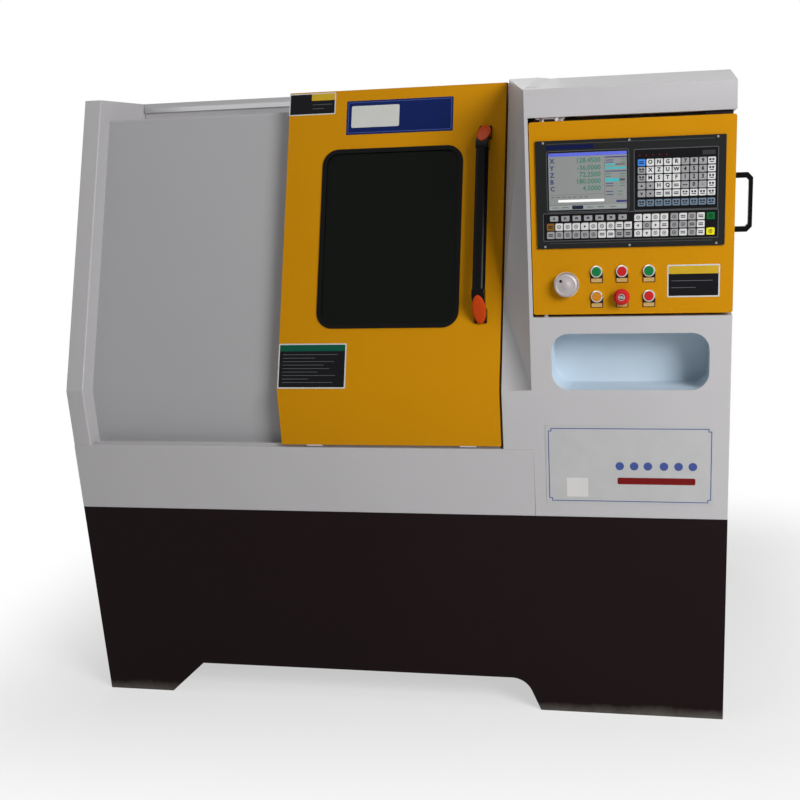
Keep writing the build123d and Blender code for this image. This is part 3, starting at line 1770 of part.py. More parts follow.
def side_grip():
    """Flat-bar grip with cut corners on the right side of the operator box."""
    x0, x1 = machine_width, machine_width + grip_reach
    z0, z1 = grip_bottom, grip_bottom + grip_height
    cut = grip_corner
    outer = outline(
        [
            (x0, z0),
            (x1 - cut, z0),
            (x1, z0 + cut),
            (x1, z1 - cut),
            (x1 - cut, z1),
            (x0, z1),
        ]
    )
    x2 = x1 - grip_end_bar
    z2, z3 = z0 + grip_bar, z1 - grip_bar
    cut = grip_corner / 2
    inner = outline(
        [
            (x0 - seam, z2),
            (x2 - cut, z2),
            (x2, z2 + cut),
            (x2, z3 - cut),
            (x2 - cut, z3),
            (x0 - seam, z3),
        ]
    )
    return along_y(outer - inner, grip_setback, grip_setback + grip_depth)


def electrical_hatch():
    """Folded door of the electrical compartment with its upper hinge knuckles."""
    x = (machine_width - hatch_depth, machine_width)
    hatch = along_x(hatch_frame(-hatch_gap), *x)
    hatch -= along_x(hatch_frame(-hatch_gap - skin), x[0] - seam, x[1] - skin)
    pin_x, pin_y = hinge_axis()
    half = knuckle_length / 2
    for level in hinge_levels():
        z = (level + slide_gap, level + half)
        barrel = along_z(Pos(pin_x, pin_y) * Circle(knuckle_radius), *z)
        leaf = block((machine_width, pin_x - skin), (pin_y - hinge_leaf, pin_y), z)
        hole = Pos(pin_x, pin_y) * Circle(hinge_pin + running_gap)
        hatch += barrel + leaf
        hatch -= along_z(hole, level, level + half - hinge_pin_gap / 2)
    for centre, radius in ((lock_place(), lock_radius), (switch_place(), switch_shaft)):
        hatch -= along_x(Pos(*centre) * Circle(radius + running_gap), x[0], x[1] + seam)
    return hatch


def lock_place():
    return hatch_front + lock_inset, (hatch_bottom + hatch_top) / 2


def switch_place():
    return hatch_front + switch_inset, hatch_top - switch_drop


def cam_lock():
    """Quarter-turn lock: round insert, wing outside and tongue inside."""
    y, z = lock_place()
    x1 = machine_width
    width, height, length, corner = lock_wing
    lock = along_x(Pos(y, z) * Circle(lock_radius), x1 - lock_length, x1 + lock_collar)
    wing = Pos(y, z) * RectangleRounded(width, height, corner - slide_gap)
    lock += along_x(wing, x1 + lock_collar, x1 + lock_collar + length)
    width, height, length, corner = lock_tongue
    tongue = Pos(y, z + lock_tongue_rise) * RectangleRounded(width, height, corner)
    return lock + along_x(tongue, x1 - lock_length - length, x1 - lock_length)


def main_switch():
    """Rotary isolator: round disc turned with its knob on one shaft."""
    y, z = switch_place()
    x1 = machine_width
    width, height, length, corner = switch_knob
    start, stop = switch_disc
    knob = along_x(Pos(y, z) * Circle(switch_radius), x1 + start, x1 + stop)
    grip = Pos(y, z) * RectangleRounded(width, height, corner)
    knob += along_x(grip, x1 + stop, x1 + stop + length)
    return knob + along_x(Pos(y, z) * Circle(switch_shaft), x1 - switch_shaft_length, x1 + start)


def build_pieces():
    """All pieces by name, drawn in the machine's own frame."""
    pieces = {
        "base_stand": base_stand(),
        "left_side_panel": left_side_panel(),
        "front_apron": front_apron(),
        "fixed_front_panel": fixed_front_panel(),
        "roof_panel": roof_panel(),
        "door_rail": door_rail(),
        "control_cabinet": control_cabinet(),
        "niche_liner": niche_liner(),
        "rear_panel": rear_panel(),
        "chamber_bulkhead": chamber_bulkhead(),
        "bed_casting": bed_casting(),
        "bed_rails": bed_rails(),
        "headstock": headstock(),
        "spindle_bearings": spindle_bearings(),
        "spindle_motor": spindle_motor(),
        "drive_belt": drive_belt(),
        "z_servo": z_servo(),
        "screw_supports": screw_supports(),
        "chip_tray": chip_tray(),
        "work_light": work_light(),
        "electrical_equipment": electrical_equipment(),
        "coolant_tank": coolant_tank(),
        "coolant_pump": coolant_pump(),
        "door_panel": door_panel(),
        "window_glass": window_glass(),
        "window_seal": window_seal(),
        "door_handle_bar": door_handle_bar(),
        "door_handle_ends": door_handle_ends(),
        "door_handle_caps": door_handle_caps(),
        "door_carriages": door_carriages(),
        "operator_box": operator_box(),
        "control_panel": control_panel(),
        "display": display(),
        "key_pads": key_pads(),
        "control_bezels": control_bezels(),
        "side_grip": side_grip(),
        "emergency_stop": emergency_stop(),
        "handwheel": handwheel(),
        "spindle": spindle(),
        "chuck_body": chuck_body(),
        "spindle_pulley": spindle_pulley(),
        "motor_pulley": motor_pulley(),
        "z_screw": z_screw(),
        "x_screw": x_screw(),
        "saddle": saddle(),
        "x_servo": x_servo(),
        "cross_slide": cross_slide(),
        "turret_disc": turret_disc(),
        "tool_holders": tool_holders(),
        "electrical_hatch": electrical_hatch(),
        "cam_lock": cam_lock(),
        "main_switch": main_switch(),
    }
    buttons = ("green_left", "red_upper", "green_right", "amber", None, "red_lower")
    for index, name in enumerate(buttons):
        if name:
            pieces["button_" + name] = push_button(index)
    for number in range(3):
        pieces[f"chuck_jaw_{number + 1}"] = chuck_jaw(number)
    return pieces


def frame_shift(pieces):
    """Move that brings the bottom centre of the whole machine to the origin."""
    box = Compound(children=[shape.moved(Location()) for shape in pieces.values()]).bounding_box()
    return Pos(-(box.min.X + box.max.X) / 2, -(box.min.Y + box.max.Y) / 2, -box.min.Z)


pieces = build_pieces()
shift = frame_shift(pieces)
os.makedirs("parts", exist_ok=True)
for name, shape in pieces.items():
    export_step(shift * shape, f"parts/{name}.step")
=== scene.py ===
"""Finishes and small parts of a slant-bed turning lathe, around its packed construction."""
import math

import bmesh
import bpy
from mathutils import Matrix, Vector


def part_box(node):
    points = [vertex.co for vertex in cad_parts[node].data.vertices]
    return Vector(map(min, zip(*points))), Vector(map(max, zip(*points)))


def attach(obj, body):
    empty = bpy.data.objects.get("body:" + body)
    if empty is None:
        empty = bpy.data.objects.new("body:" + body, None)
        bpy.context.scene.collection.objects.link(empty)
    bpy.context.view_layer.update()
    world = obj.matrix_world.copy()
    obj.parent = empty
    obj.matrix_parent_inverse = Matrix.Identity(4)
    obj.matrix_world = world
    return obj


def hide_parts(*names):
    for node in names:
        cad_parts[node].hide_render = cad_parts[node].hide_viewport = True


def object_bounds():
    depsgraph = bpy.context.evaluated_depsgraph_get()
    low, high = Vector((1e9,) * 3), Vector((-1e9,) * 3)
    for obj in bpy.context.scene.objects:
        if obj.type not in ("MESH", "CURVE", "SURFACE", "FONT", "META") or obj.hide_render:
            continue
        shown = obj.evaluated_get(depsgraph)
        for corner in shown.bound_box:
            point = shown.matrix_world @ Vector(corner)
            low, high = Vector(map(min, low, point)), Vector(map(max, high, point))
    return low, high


bl_info = {
    "name": "Turning lathe looks",
    "version": (1, 0, 0),
    "blender": (4, 5, 0),
    "location": "3D View > Sidebar > Lathe",
    "description": "Finishes, plates, keys and small hardware of a slant-bed turning lathe",
    "category": "Object",
}

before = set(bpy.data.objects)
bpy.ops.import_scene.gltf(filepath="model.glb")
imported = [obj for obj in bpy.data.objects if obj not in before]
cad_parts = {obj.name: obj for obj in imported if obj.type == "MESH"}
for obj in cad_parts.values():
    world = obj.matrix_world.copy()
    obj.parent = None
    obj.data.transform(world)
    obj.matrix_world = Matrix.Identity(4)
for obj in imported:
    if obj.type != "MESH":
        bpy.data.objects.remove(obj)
CAD_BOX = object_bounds()

# Places read from the construction, in metres
FRONT_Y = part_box("front_apron")[0].y
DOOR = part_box("door_panel")
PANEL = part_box("control_panel")
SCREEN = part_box("display")
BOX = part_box("operator_box")

# Sizes of the construction that the boxes don't give, in metres
MM = 0.001
BOX_SIDE_GAP = 11 * MM
CABINET_LEFT = BOX[0].x - BOX_SIDE_GAP
DOOR_SETBACK = DOOR[0].y - FRONT_Y
BEND_HEIGHT = 0.918
LEAN = math.radians(21.3)
TOP_STEP = 0.3836  # where the corner post's top ends, beside the cabinet's

# Sheets that get rounded folds: finished piece, construction piece, radius of the folds in
# metres, coat, body and slot
ROLLED = (
    ("side_sheet", "left_side_panel", 0.003, "white", "machine", "white_paint"),
    ("apron_sheet", "front_apron", 0.003, "white", "machine", "white_paint"),
    # The set-back sheet's coat is the white paint made darker: painted shade for the recess it lies
    # in.
    ("recess_sheet", "fixed_front_panel", 0.002, "recess_shade", "machine", "white_paint"),
    ("cabinet_sheet", "control_cabinet", 0.0035, "white", "machine", "white_paint"),
    ("door_sheet", "door_panel", 0.0035, "amber", "door", "yellow_paint"),
    ("control_box_sheet", "operator_box", 0.003, "amber", "operator_unit", "yellow_paint"),
    ("stand_sheet", "base_stand", 0.003, "stand", "machine", "base_paint"),
)
PLAIN_WHITE = ("roof_panel", "rear_panel", "electrical_hatch", "chamber_bulkhead")

# Small pieces are drawn in millimetres, and so are the sizes from here on

# Door handle: heights over the door's face, places in from the elbows' outer ends
HANDLE_RISE = 44
TUBE_WIDE, TUBE_DEEP, TUBE_END = 17, 12, 70
ELBOW_END, ELBOW_DEEP, ELBOW_FOOT, ELBOW_BEND = 80, 12.2, 38, 14
ELBOW_ROUND = 10
CAP_RUN, CAP_FOOT = 60, 6
SOLE = 0.5

# Units on the electrical board are narrower and deeper than the ducts and the board
UNIT_WIDTH, UNIT_DEPTH = 220, 60

# How far each bar that stands for a line of words reaches on a label
BAR_REACH = (0.93, 0.55, 0.88, 0.7, 0.8, 0.6, 0.9, 0.45, 0.86)

# Least radius of a corner, so that its points stay apart
LEAST_ROUND = 0.01

# Soft keys in the row under the screen are broader than the first, with caps of the second
BROAD_KEY, BROAD_CAP = 22, 20

# Fields of the keyboard from the fascia's lower left corner: left, bottom, right, top, then the
# colour and the legend of each key, row by row from the top
KEY_FIELDS = (
    ((244.0, 116.0, 428.0, 206.0),
     ("bwwwwgggw", "gwwwwgggw", "gwwwwgggw", "ggwwwgggw", "ggwwwwwww"),
     ("=ONGR789:", ":XZUW456:", ":MSTF123:", "^<HQ=-0.:", "v>===::::")),
    ((244.0, 94.5, 428.0, 112.5), ("sssssssss",), (":::::::::",)),
    ((28.5, 64.5, 222.5, 79.5), ("ggggggg",), ("<fffff>",)),
    ((23.0, 23.0, 232.0, 62.0), ("owwwwwwwww", "ggggggwwgg"), ("=@@@>@@@==", "=@@@@@====")),
    ((235.5, 23.5, 318.5, 79.0), ("wwww", "wgww", "wwww"), ("@^@@", "<@>=", "@v@@")),
    ((321.5, 23.5, 404.5, 79.0), ("gwgw", "gggw", "gwgw"), ("@=@=", "@@==", "@=@=")),
    ((406.5, 60.0, 428.0, 79.0), ("n",), ("@",)),
    ((406.5, 24.0, 428.0, 43.0), ("y",), ("@",)),
)
KEY_COLOURS = {
    "w": (0.62, 0.62, 0.62), "g": (0.30, 0.30, 0.31), "b": (0.05, 0.22, 0.72),
    "s": (0.14, 0.19, 0.25), "o": (0.20, 0.10, 0.02), "n": (0.005, 0.12, 0.03),
    "y": (0.75, 0.66, 0.01),
}

# Dust on the stand's foot
DUST = (0.16, 0.145, 0.13, 1.0)

# How strongly a finish mirrors what is in front of it, unless a material says otherwise
SPECULAR = {"paint": 0.5, "brushed": 0.5, "moulded": 0.07}


# Node trees

def add(tree, kind, sockets=None, **settings):
    """Adds a node. Each named socket gets a value, or the output that feeds it."""
    made = tree.nodes.new(kind)
    for name, value in settings.items():
        setattr(made, name, value)
    for name, value in (sockets or {}).items():
        if isinstance(value, bpy.types.NodeSocket):
            tree.links.new(value, made.inputs[name])
        else:
            made.inputs[name].default_value = value
    return made


def compute(tree, operation, *values):
    """Result of a sum on numbers or outputs."""
    return add(tree, "ShaderNodeMath", dict(enumerate(values)), operation=operation).outputs[0]


def noise(tree, place, scale, detail, roughness=0.5):
    """Cloudy pattern from 0 to 1."""
    return add(tree, "ShaderNodeTexNoise", {"Vector": place, "Scale": scale, "Detail": detail,
                                            "Roughness": roughness}).outputs["Fac"]


def effect_group(name, inputs, outputs):
    """Empty shader node group with number inputs and number outputs."""
    group = bpy.data.node_groups.new(name, "ShaderNodeTree")
    group.interface.new_socket("Place", in_out="INPUT", socket_type="NodeSocketVector")
    for label, default in inputs.items():
        socket = group.interface.new_socket(label, in_out="INPUT", socket_type="NodeSocketFloat")
        socket.default_value = default
    for label in outputs:
        group.interface.new_socket(label, in_out="OUTPUT", socket_type="NodeSocketFloat")
    return group, add(group, "NodeGroupInput"), add(group, "NodeGroupOutput")


def spread(tree, value, low, high):
    """Maps a value from 0..1 to low..high."""
    ranged = add(tree, "ShaderNodeMapRange", {"Value": value, "To Min": low, "To Max": high})
    return ranged.outputs["Result"]


def finish_effect(group, start, end, tone, pattern, height):
    """Puts out a tone, a roughness that follows a pattern within the gloss spread, and a height."""
    gloss = start.outputs["Gloss"]
    dull = compute(group, "ADD", gloss, start.outputs["Gloss Spread"])
    shine = spread(group, pattern, gloss, dull)
    for value, label in ((tone, "Tone"), (shine, "Shine"), (height, "Height")):
        group.links.new(value, end.inputs[label])
    return group


def paint_film_group():
    """Sprayed and baked paint: slow change of tone, uneven gloss, and orange peel."""
    group, start, end = effect_group(
        "Paint film",
        {"Patch Size": 2.2, "Peel Size": 420.0, "Tone Spread": 0.04, "Gloss": 0.4,
         "Gloss Spread": 0.08},
        ("Tone", "Shine", "Height"))
    given = start.outputs
    patches = noise(group, given["Place"], given["Patch Size"], 3.0, 0.55)
    smears = noise(group, given["Place"], 34.0, 4.0)
    peel = noise(group, given["Place"], given["Peel Size"], 2.0)
    low = compute(group, "SUBTRACT", 1.0, given["Tone Spread"])
    high = compute(group, "ADD", 1.0, given["Tone Spread"])
    return finish_effect(group, start, end, spread(group, patches, low, high), smears, peel)


def brushed_group():
    """Ground or brushed metal: fine streaks, stretched by the place fed in."""
    group, start, end = effect_group(
        "Brushed metal",
        {"Streak Size": 60.0, "Tone Spread": 0.12, "Gloss": 0.28, "Gloss Spread": 0.16},
        ("Tone", "Shine", "Height"))
    streaks = noise(group, start.outputs["Place"], start.outputs["Streak Size"], 5.0, 0.65)
    low = compute(group, "SUBTRACT", 1.0, start.outputs["Tone Spread"])
    return finish_effect(group, start, end, spread(group, streaks, low, 1.0), streaks, streaks)


def moulded_group():
    """Moulded plastic: spark-eroded texture and slightly uneven gloss."""
    group, start, end = effect_group(
        "Moulded plastic",
        {"Grain Size": 1500.0, "Gloss": 0.35, "Gloss Spread": 0.1},
        ("Tone", "Shine", "Height"))
    place = start.outputs["Place"]
    grain = noise(group, place, start.outputs["Grain Size"], 2.0)
    clouds = noise(group, place, 25.0, 3.0)
    return finish_effect(group, start, end, spread(group, clouds, 0.92, 1.04), clouds, grain)


def floor_grime_group():
    """Dust and mop splashes that fade upwards from the floor."""
    group, start, end = effect_group("Floor grime", {"Reach": 0.16}, ("Mask",))
    split = add(group, "ShaderNodeSeparateXYZ", {"Vector": start.outputs["Place"]})
    rise = compute(group, "DIVIDE", split.outputs["Z"], start.outputs["Reach"])
    lifted = compute(group, "ADD", rise, noise(group, start.outputs["Place"], 9.0, 6.0, 0.7))
    faded = add(group, "ShaderNodeMapRange", {"Value": lifted, "From Min": 0.35, "From Max": 1.2,
                                              "To Min": 0.75, "To Max": 0.0})
    group.links.new(faded.outputs["Result"], end.inputs["Mask"])
    return group


GROUPS = {}
FINISHES = {}


def build_groups():
    """Shared effects, and the two materials of all screws."""
    GROUPS["paint"] = paint_film_group()
    GROUPS["brushed"] = brushed_group()
    GROUPS["moulded"] = moulded_group()
    GROUPS["grime"] = floor_grime_group()
    GROUPS["screws"] = screw_tree()
    FINISHES["screw_steel"] = surface("screw_steel", "brushed", (0.62, 0.62, 0.63), metallic=1.0,
                                      gloss=0.22, gloss_spread=0.1)
    FINISHES["socket_shade"] = surface("socket_shade", "moulded", (0.02, 0.02, 0.02), gloss=0.5)


def new_material(name):
    """Material with its shader and the object's own coordinates."""
    material = bpy.data.materials.new(name)
    material.use_nodes = True
    tree = material.node_tree
    shader = tree.nodes["Principled BSDF"]
    place = add(tree, "ShaderNodeTexCoord").outputs["Object"]
    return material, tree, shader, place


def effect(tree, group, place, **values):
    """Places one of the shared effects, with its own values."""
    made = add(tree, "ShaderNodeGroup", node_tree=GROUPS[group])
    tree.links.new(place, made.inputs["Place"])
    for name, value in values.items():
        made.inputs[name.replace("_", " ").title()].default_value = value
    return made


def mix(tree, first, second, factor=1.0, blend="MIX"):
    """Mixes two colours, each a value or an output. Its colour sockets are 6, 7 and 2."""
    return add(tree, "ShaderNodeMix", {"Factor": factor, 6: first, 7: second}, data_type="RGBA",
               blend_type=blend).outputs[2]


def tinted(tree, colour, tone):
    """The colour, lightened or darkened by a tone that varies over the surface."""
    grey = add(tree, "ShaderNodeCombineColor", {"Red": tone, "Green": tone, "Blue": tone})
    return mix(tree, (*colour, 1.0), grey.outputs["Color"], blend="MULTIPLY")


def surface(name, group, colour, metallic=0.0, bump=0.05, depth=0.0002, coat=0.0, stretch=None,
            grime=0.0, specular=None, **values):
    """Opaque material made from one shared effect."""
    material, tree, shader, place = new_material(name)
    if stretch:
        mapped = add(tree, "ShaderNodeMapping", {"Vector": place, "Scale": stretch})
        place = mapped.outputs["Vector"]
    look = effect(tree, group, place, **values)
    base = tinted(tree, colour, look.outputs["Tone"])
    if grime:
        base = mix(tree, base, DUST, effect(tree, "grime", place, reach=grime).outputs["Mask"])
    tree.links.new(base, shader.inputs["Base Color"])
    tree.links.new(look.outputs["Shine"], shader.inputs["Roughness"])
    shader.inputs["Metallic"].default_value = metallic
    shader.inputs["Coat Weight"].default_value = coat
    level = SPECULAR[group] if specular is None else specular
    shader.inputs["Specular IOR Level"].default_value = level
    raised = add(tree, "ShaderNodeBump", {"Height": look.outputs["Height"], "Strength": bump,
                                          "Distance": depth})
    tree.links.new(raised.outputs["Normal"], shader.inputs["Normal"])
    return material


def glowing(name, colour, pattern, tones, strength, roughness):
    """Colour of the lit screen, which gives a little light of its own."""
    material, tree, shader, place = new_material(name)
    base = tinted(tree, colour, spread(tree, noise(tree, place, *pattern), *tones))
    tree.links.new(base, shader.inputs["Base Color"])
    tree.links.new(base, shader.inputs["Emission Color"])
    shader.inputs["Emission Strength"].default_value = strength
    shader.inputs["Roughness"].default_value = roughness
    return material


def cover(obj, material):
    """Gives an object one material."""
    obj.data.materials.clear()
    obj.data.materials.append(material)


def paint_nodes(finishes):
    """Gives each material to its construction pieces."""
    for material, nodes in finishes.items():
        for node in nodes:
            cover(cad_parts[node], material)


# Meshes

def finish_mesh(bm, name, materials, smooth=35.0):
    """Turns a bmesh into an object at the origin, with outward faces and smooth rounds."""
    bmesh.ops.recalc_face_normals(bm, faces=bm.faces)
    mesh = bpy.data.meshes.new(name)
    bm.to_mesh(mesh)
    bm.free()
    for material in materials:
        mesh.materials.append(material)
    mesh.polygons.foreach_set("use_smooth", [True] * len(mesh.polygons))
    mesh.set_sharp_from_angle(angle=math.radians(smooth))
    obj = bpy.data.objects.new(name, mesh)
    bpy.context.scene.collection.objects.link(obj)
    return obj


def seat(obj, body, slot, *nodes):
    """Puts a piece on the body it rides on and hides the nodes it stands for; the slot of its
    finish is not used.
    """
    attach(obj, body)
    if nodes:
        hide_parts(*nodes)


def make(bm, name, materials, matrix, body, slot, *nodes, smooth=35.0):
    """Finishes a piece drawn in millimetres, moves its mesh to its place and seats it."""
    seat(placed(finish_mesh(bm, name, materials, smooth), matrix), body, slot, *nodes)


def add_skin(bm, rows, index=0, closed=False):
    """Faces between rows of corners, with flat ends unless the last row meets the first."""
    faces = [] if closed else [bm.faces.new(rows[-1]), bm.faces.new(rows[0][::-1])]
    for lower, upper in zip(rows, rows[1:] + rows[:1] if closed else rows[1:]):
        for here in range(len(lower)):
            there = (here + 1) % len(lower)
            faces.append(bm.faces.new((lower[here], lower[there], upper[there], upper[here])))
    for face in faces:
        face.material_index = index


def move_verts(bm, known, matrix):
    """Moves the corners made since a count was taken."""
    bm.verts.ensure_lookup_table()
    for vert in bm.verts[known:]:
        vert.co = matrix @ vert.co


def polar(radius, angle, x=0.0, y=0.0):
    """Point at a distance and an angle from a centre."""
    return x + radius * math.cos(angle), y + radius * math.sin(angle)


def disc(x, y, radius, steps=28, turn=0.0):
    """Points of a circle, counter-clockwise."""
    return [polar(radius, turn + 2 * math.pi * step / steps, x, y) for step in range(steps)]


def rounded(box, radius, steps=3):
    """Outline of a box of left, bottom, right and top with round corners, counter-clockwise."""
    left, bottom, right, top = box
    radius = max(min(radius, (right - left) / 2, (top - bottom) / 2), LEAST_ROUND)
    left, bottom, right, top = left + radius, bottom + radius, right - radius, top - radius
    return [polar(radius, math.pi / 2 * (quarter + step / steps), x, y)
            for quarter, (x, y) in enumerate(((right, top), (left, top), (left, bottom),
                                              (right, bottom)))
            for step in range(steps + 1)]


def add_slab(bm, points, low, high, index=0, edge=0.0):
    """Closed flat slab over an outline, with an optional chamfer round its top."""
    levels = [(low, 0.0), (high - edge, 0.0)]
    if edge:
        levels.append((high, edge))
    cx = sum(p[0] for p in points) / len(points)
    cy = sum(p[1] for p in points) / len(points)
    span = max(math.dist((cx, cy), p) for p in points)
    rows = []
    for level, inset in levels:
        share = 1.0 - inset / span
        rows.append([bm.verts.new((cx + (x - cx) * share, cy + (y - cy) * share, level))
                     for x, y in points])
    add_skin(bm, rows, index)


def add_ring(bm, outer, inner, low, high, index=0):
    """Closed flat frame between two outlines with as many points each."""
    rows = [[bm.verts.new((x, y, level)) for x, y in points]
            for points, level in ((outer, low), (outer, high), (inner, high), (inner, low))]
    add_skin(bm, rows, index, closed=True)


def upright_place(x, z, y=FRONT_Y):
    """Matrix for a piece drawn in X and Y that lies on the upright front."""
    return Matrix.Translation((x, y, z)) @ Matrix.Rotation(math.radians(90), 4, "X")


def leaning_place(x, z):
    """Matrix for a piece drawn in X and Y that lies on the leaning door at height z."""
    depth = FRONT_Y + (z - BEND_HEIGHT) * math.tan(LEAN) + DOOR_SETBACK / math.cos(LEAN)
    return Matrix.Translation((x, depth, z)) @ Matrix.Rotation(math.radians(90) - LEAN, 4, "X")


def on_fascia(point):
    """Place on the controller's front, from its lower left corner."""
    return (point.x - PANEL[0].x) / MM, (point.z - PANEL[0].z) / MM


def placed(obj, matrix):
    """Moves a mesh drawn in millimetres to its place, and leaves its object at the origin."""
    obj.data.transform(matrix @ Matrix.Scale(MM, 4))
    return obj


def add_field(bm, box, corner, low, high, index=0, edge=0.0):
    """Flat field over a box of left, bottom, right and top."""
    add_slab(bm, rounded(box, corner), low, high, index, edge)


def grown(box, grow):
    """Box with each side moved outwards."""
    left, bottom, right, top = box
    return left - grow, bottom - grow, right + grow, top + grow


def add_border(bm, box, corner, width, low, high, index=0):
    """Flat frame inside a box of left, bottom, right and top."""
    inner = rounded(grown(box, -width), corner - width)
    add_ring(bm, rounded(box, corner), inner, low, high, index)


def centred(width, height):
    """Box about the origin."""
    return -width / 2, -height / 2, width / 2, height / 2


def notched(width, height, notch):
    """Corner points of a rectangle whose corners are cut in as small squares."""
    x, y = width / 2, height / 2
    points = []
    for side_x, side_y in ((1, 1), (-1, 1), (-1, -1), (1, -1)):
        corner = [(x, y - notch), (x - notch, y - notch), (x - notch, y)]
        corner = [(px * side_x, py * side_y) for px, py in corner]
        points += corner if side_x == side_y else corner[::-1]
    return points


def add_turned(bm, profile, steps):
    """Closed round body from radius and height pairs that start and end on its axis."""
    rows = []
    for radius, height in profile:
        if radius == 0.0:
            rows.append([bm.verts.new((0.0, 0.0, height))])
        else:
            rows.append([bm.verts.new((x, y, height)) for x, y in disc(0, 0, radius, steps)])
    for lower, upper in zip(rows, rows[1:]):
        for here in range(steps):
            there = (here + 1) % steps
            corners = [lower[here % len(lower)], lower[there % len(lower)],
                       upper[there % len(upper)], upper[here % len(upper)]]
            bm.faces.new(list(dict.fromkeys(corners)))


def add_lettering(bm, lines, thickness, index, weight):
    """Raised figures: each line is its text, height, left or right end or middle, and place."""
    made = []
    for words, size, side, x, y, level in lines:
        curve = bpy.data.curves.new("figures", "FONT")
        curve.body = words
        curve.size = size
        curve.align_x = side
        curve.align_y = "CENTER"
        curve.extrude = thickness / 2
        curve.offset = weight
        curve.resolution_u = 2
        obj = bpy.data.objects.new("figures", curve)
        bpy.context.scene.collection.objects.link(obj)
        made.append((obj, curve, Matrix.Translation((x, y, level))))
    graph = bpy.context.evaluated_depsgraph_get()
    for obj, curve, move in made:
        mesh = bpy.data.meshes.new_from_object(obj.evaluated_get(graph))
        mesh.transform(move)
        known = len(bm.faces)
        bm.from_mesh(mesh)
        bm.faces.ensure_lookup_table()
        for face in bm.faces[known:]:
            face.material_index = index
        bpy.data.meshes.remove(mesh)
    for obj, curve, move in made:
        bpy.data.objects.remove(obj)
        bpy.data.curves.remove(curve)
    bmesh.ops.remove_doubles(bm, verts=bm.verts, dist=1e-4)


def separate_boxes(node):
    """Lowest and highest corner of each separate body of a construction piece."""
    bm = bmesh.new()
    bm.from_mesh(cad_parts[node].data)
    bmesh.ops.remove_doubles(bm, verts=bm.verts, dist=1e-6)
    seen, boxes = set(), []
    for vert in bm.verts:
        if vert in seen:
            continue
        seen.add(vert)
        waiting, points = [vert], []
        while waiting:
            here = waiting.pop()
            points.append(here.co.copy())
            for edge in here.link_edges:
                other = edge.other_vert(here)
                if other not in seen:
                    seen.add(other)
                    waiting.append(other)
        boxes.append(tuple(Vector(pick(p[axis] for p in points) for axis in range(3))
                           for pick in (min, max)))
    bm.free()
    return boxes


def screw_tree():
    """Screws on the points of a mesh: a chamfered head with a dark hexagon socket."""
    tree = bpy.data.node_groups.new("Screws", "GeometryNodeTree")
    face = tree.interface
    face.new_socket("Geometry", in_out="INPUT", socket_type="NodeSocketGeometry")
    for label in ("Radius", "Height"):
        face.new_socket(label, in_out="INPUT", socket_type="NodeSocketFloat")
    for label in ("Head", "Socket"):
        face.new_socket(label, in_out="INPUT", socket_type="NodeSocketMaterial")
    face.new_socket("Geometry", in_out="OUTPUT", socket_type="NodeSocketGeometry")
    start, end = add(tree, "NodeGroupInput"), add(tree, "NodeGroupOutput")
    radius, height = start.outputs["Radius"], start.outputs["Height"]
    top_share, hole_share, hole_height, full_turn = 0.72, 0.46, 0.4, 6.2832
    top = compute(tree, "MULTIPLY", radius, top_share)
    hole = compute(tree, "MULTIPLY", radius, hole_share)
    head = add(tree, "GeometryNodeMeshCone", {"Vertices": 24, "Radius Top": top,
                                              "Radius Bottom": radius, "Depth": height})
    socket = add(tree, "GeometryNodeMeshCylinder", {"Vertices": 6, "Radius": hole,
                                                    "Depth": hole_height})
    raised = add(tree, "ShaderNodeCombineXYZ", {"Z": height}).outputs["Vector"]
    lifted = add(tree, "GeometryNodeTransform", {"Geometry": socket.outputs["Mesh"],
                                                 "Translation": raised})
    steel = add(tree, "GeometryNodeSetMaterial", {"Geometry": head.outputs["Mesh"],
                                                  "Material": start.outputs["Head"]})
    dark = add(tree, "GeometryNodeSetMaterial", {"Geometry": lifted.outputs["Geometry"],
                                                 "Material": start.outputs["Socket"]})
    both = add(tree, "GeometryNodeJoinGeometry", {"Geometry": steel.outputs["Geometry"]})
    tree.links.new(dark.outputs["Geometry"], both.inputs["Geometry"])
    turn = add(tree, "FunctionNodeRandomValue", {"Max": full_turn, "Seed": 7}, data_type="FLOAT")
    angle = add(tree, "ShaderNodeCombineXYZ", {"Z": turn.outputs["Value"]}).outputs["Vector"]
    spread_out = add(tree, "GeometryNodeInstanceOnPoints", {
        "Points": start.outputs["Geometry"], "Instance": both.outputs["Geometry"],
        "Rotation": angle})
    real = add(tree, "GeometryNodeRealizeInstances", {"Geometry": spread_out.outputs["Instances"]})
    tree.links.new(real.outputs["Geometry"], end.inputs["Geometry"])
    return tree


def screws(name, places, matrix, radius, height, body, slot):
    """A group of screws on one flat surface, drawn in X and Y and then moved there."""
    mesh = bpy.data.meshes.new(name + "_points")
    mesh.from_pydata([(x, y, 0.0) for x, y in places], [], [])
    points = bpy.data.objects.new(name + "_points", mesh)
    bpy.context.scene.collection.objects.link(points)
    modifier = points.modifiers.new("Screws", "NODES")
    modifier.node_group = GROUPS["screws"]
    values = {"Radius": radius, "Height": height, "Head": FINISHES["screw_steel"],
              "Socket": FINISHES["socket_shade"]}
    for item in GROUPS["screws"].interface.items_tree:
        if item.in_out == "INPUT" and item.name in values:
            modifier[item.identifier] = values[item.name]
    obj = placed(baked(points, name), matrix)
    obj.data.polygons.foreach_set("use_smooth", [False] * len(obj.data.polygons))
    seat(obj, body, slot)


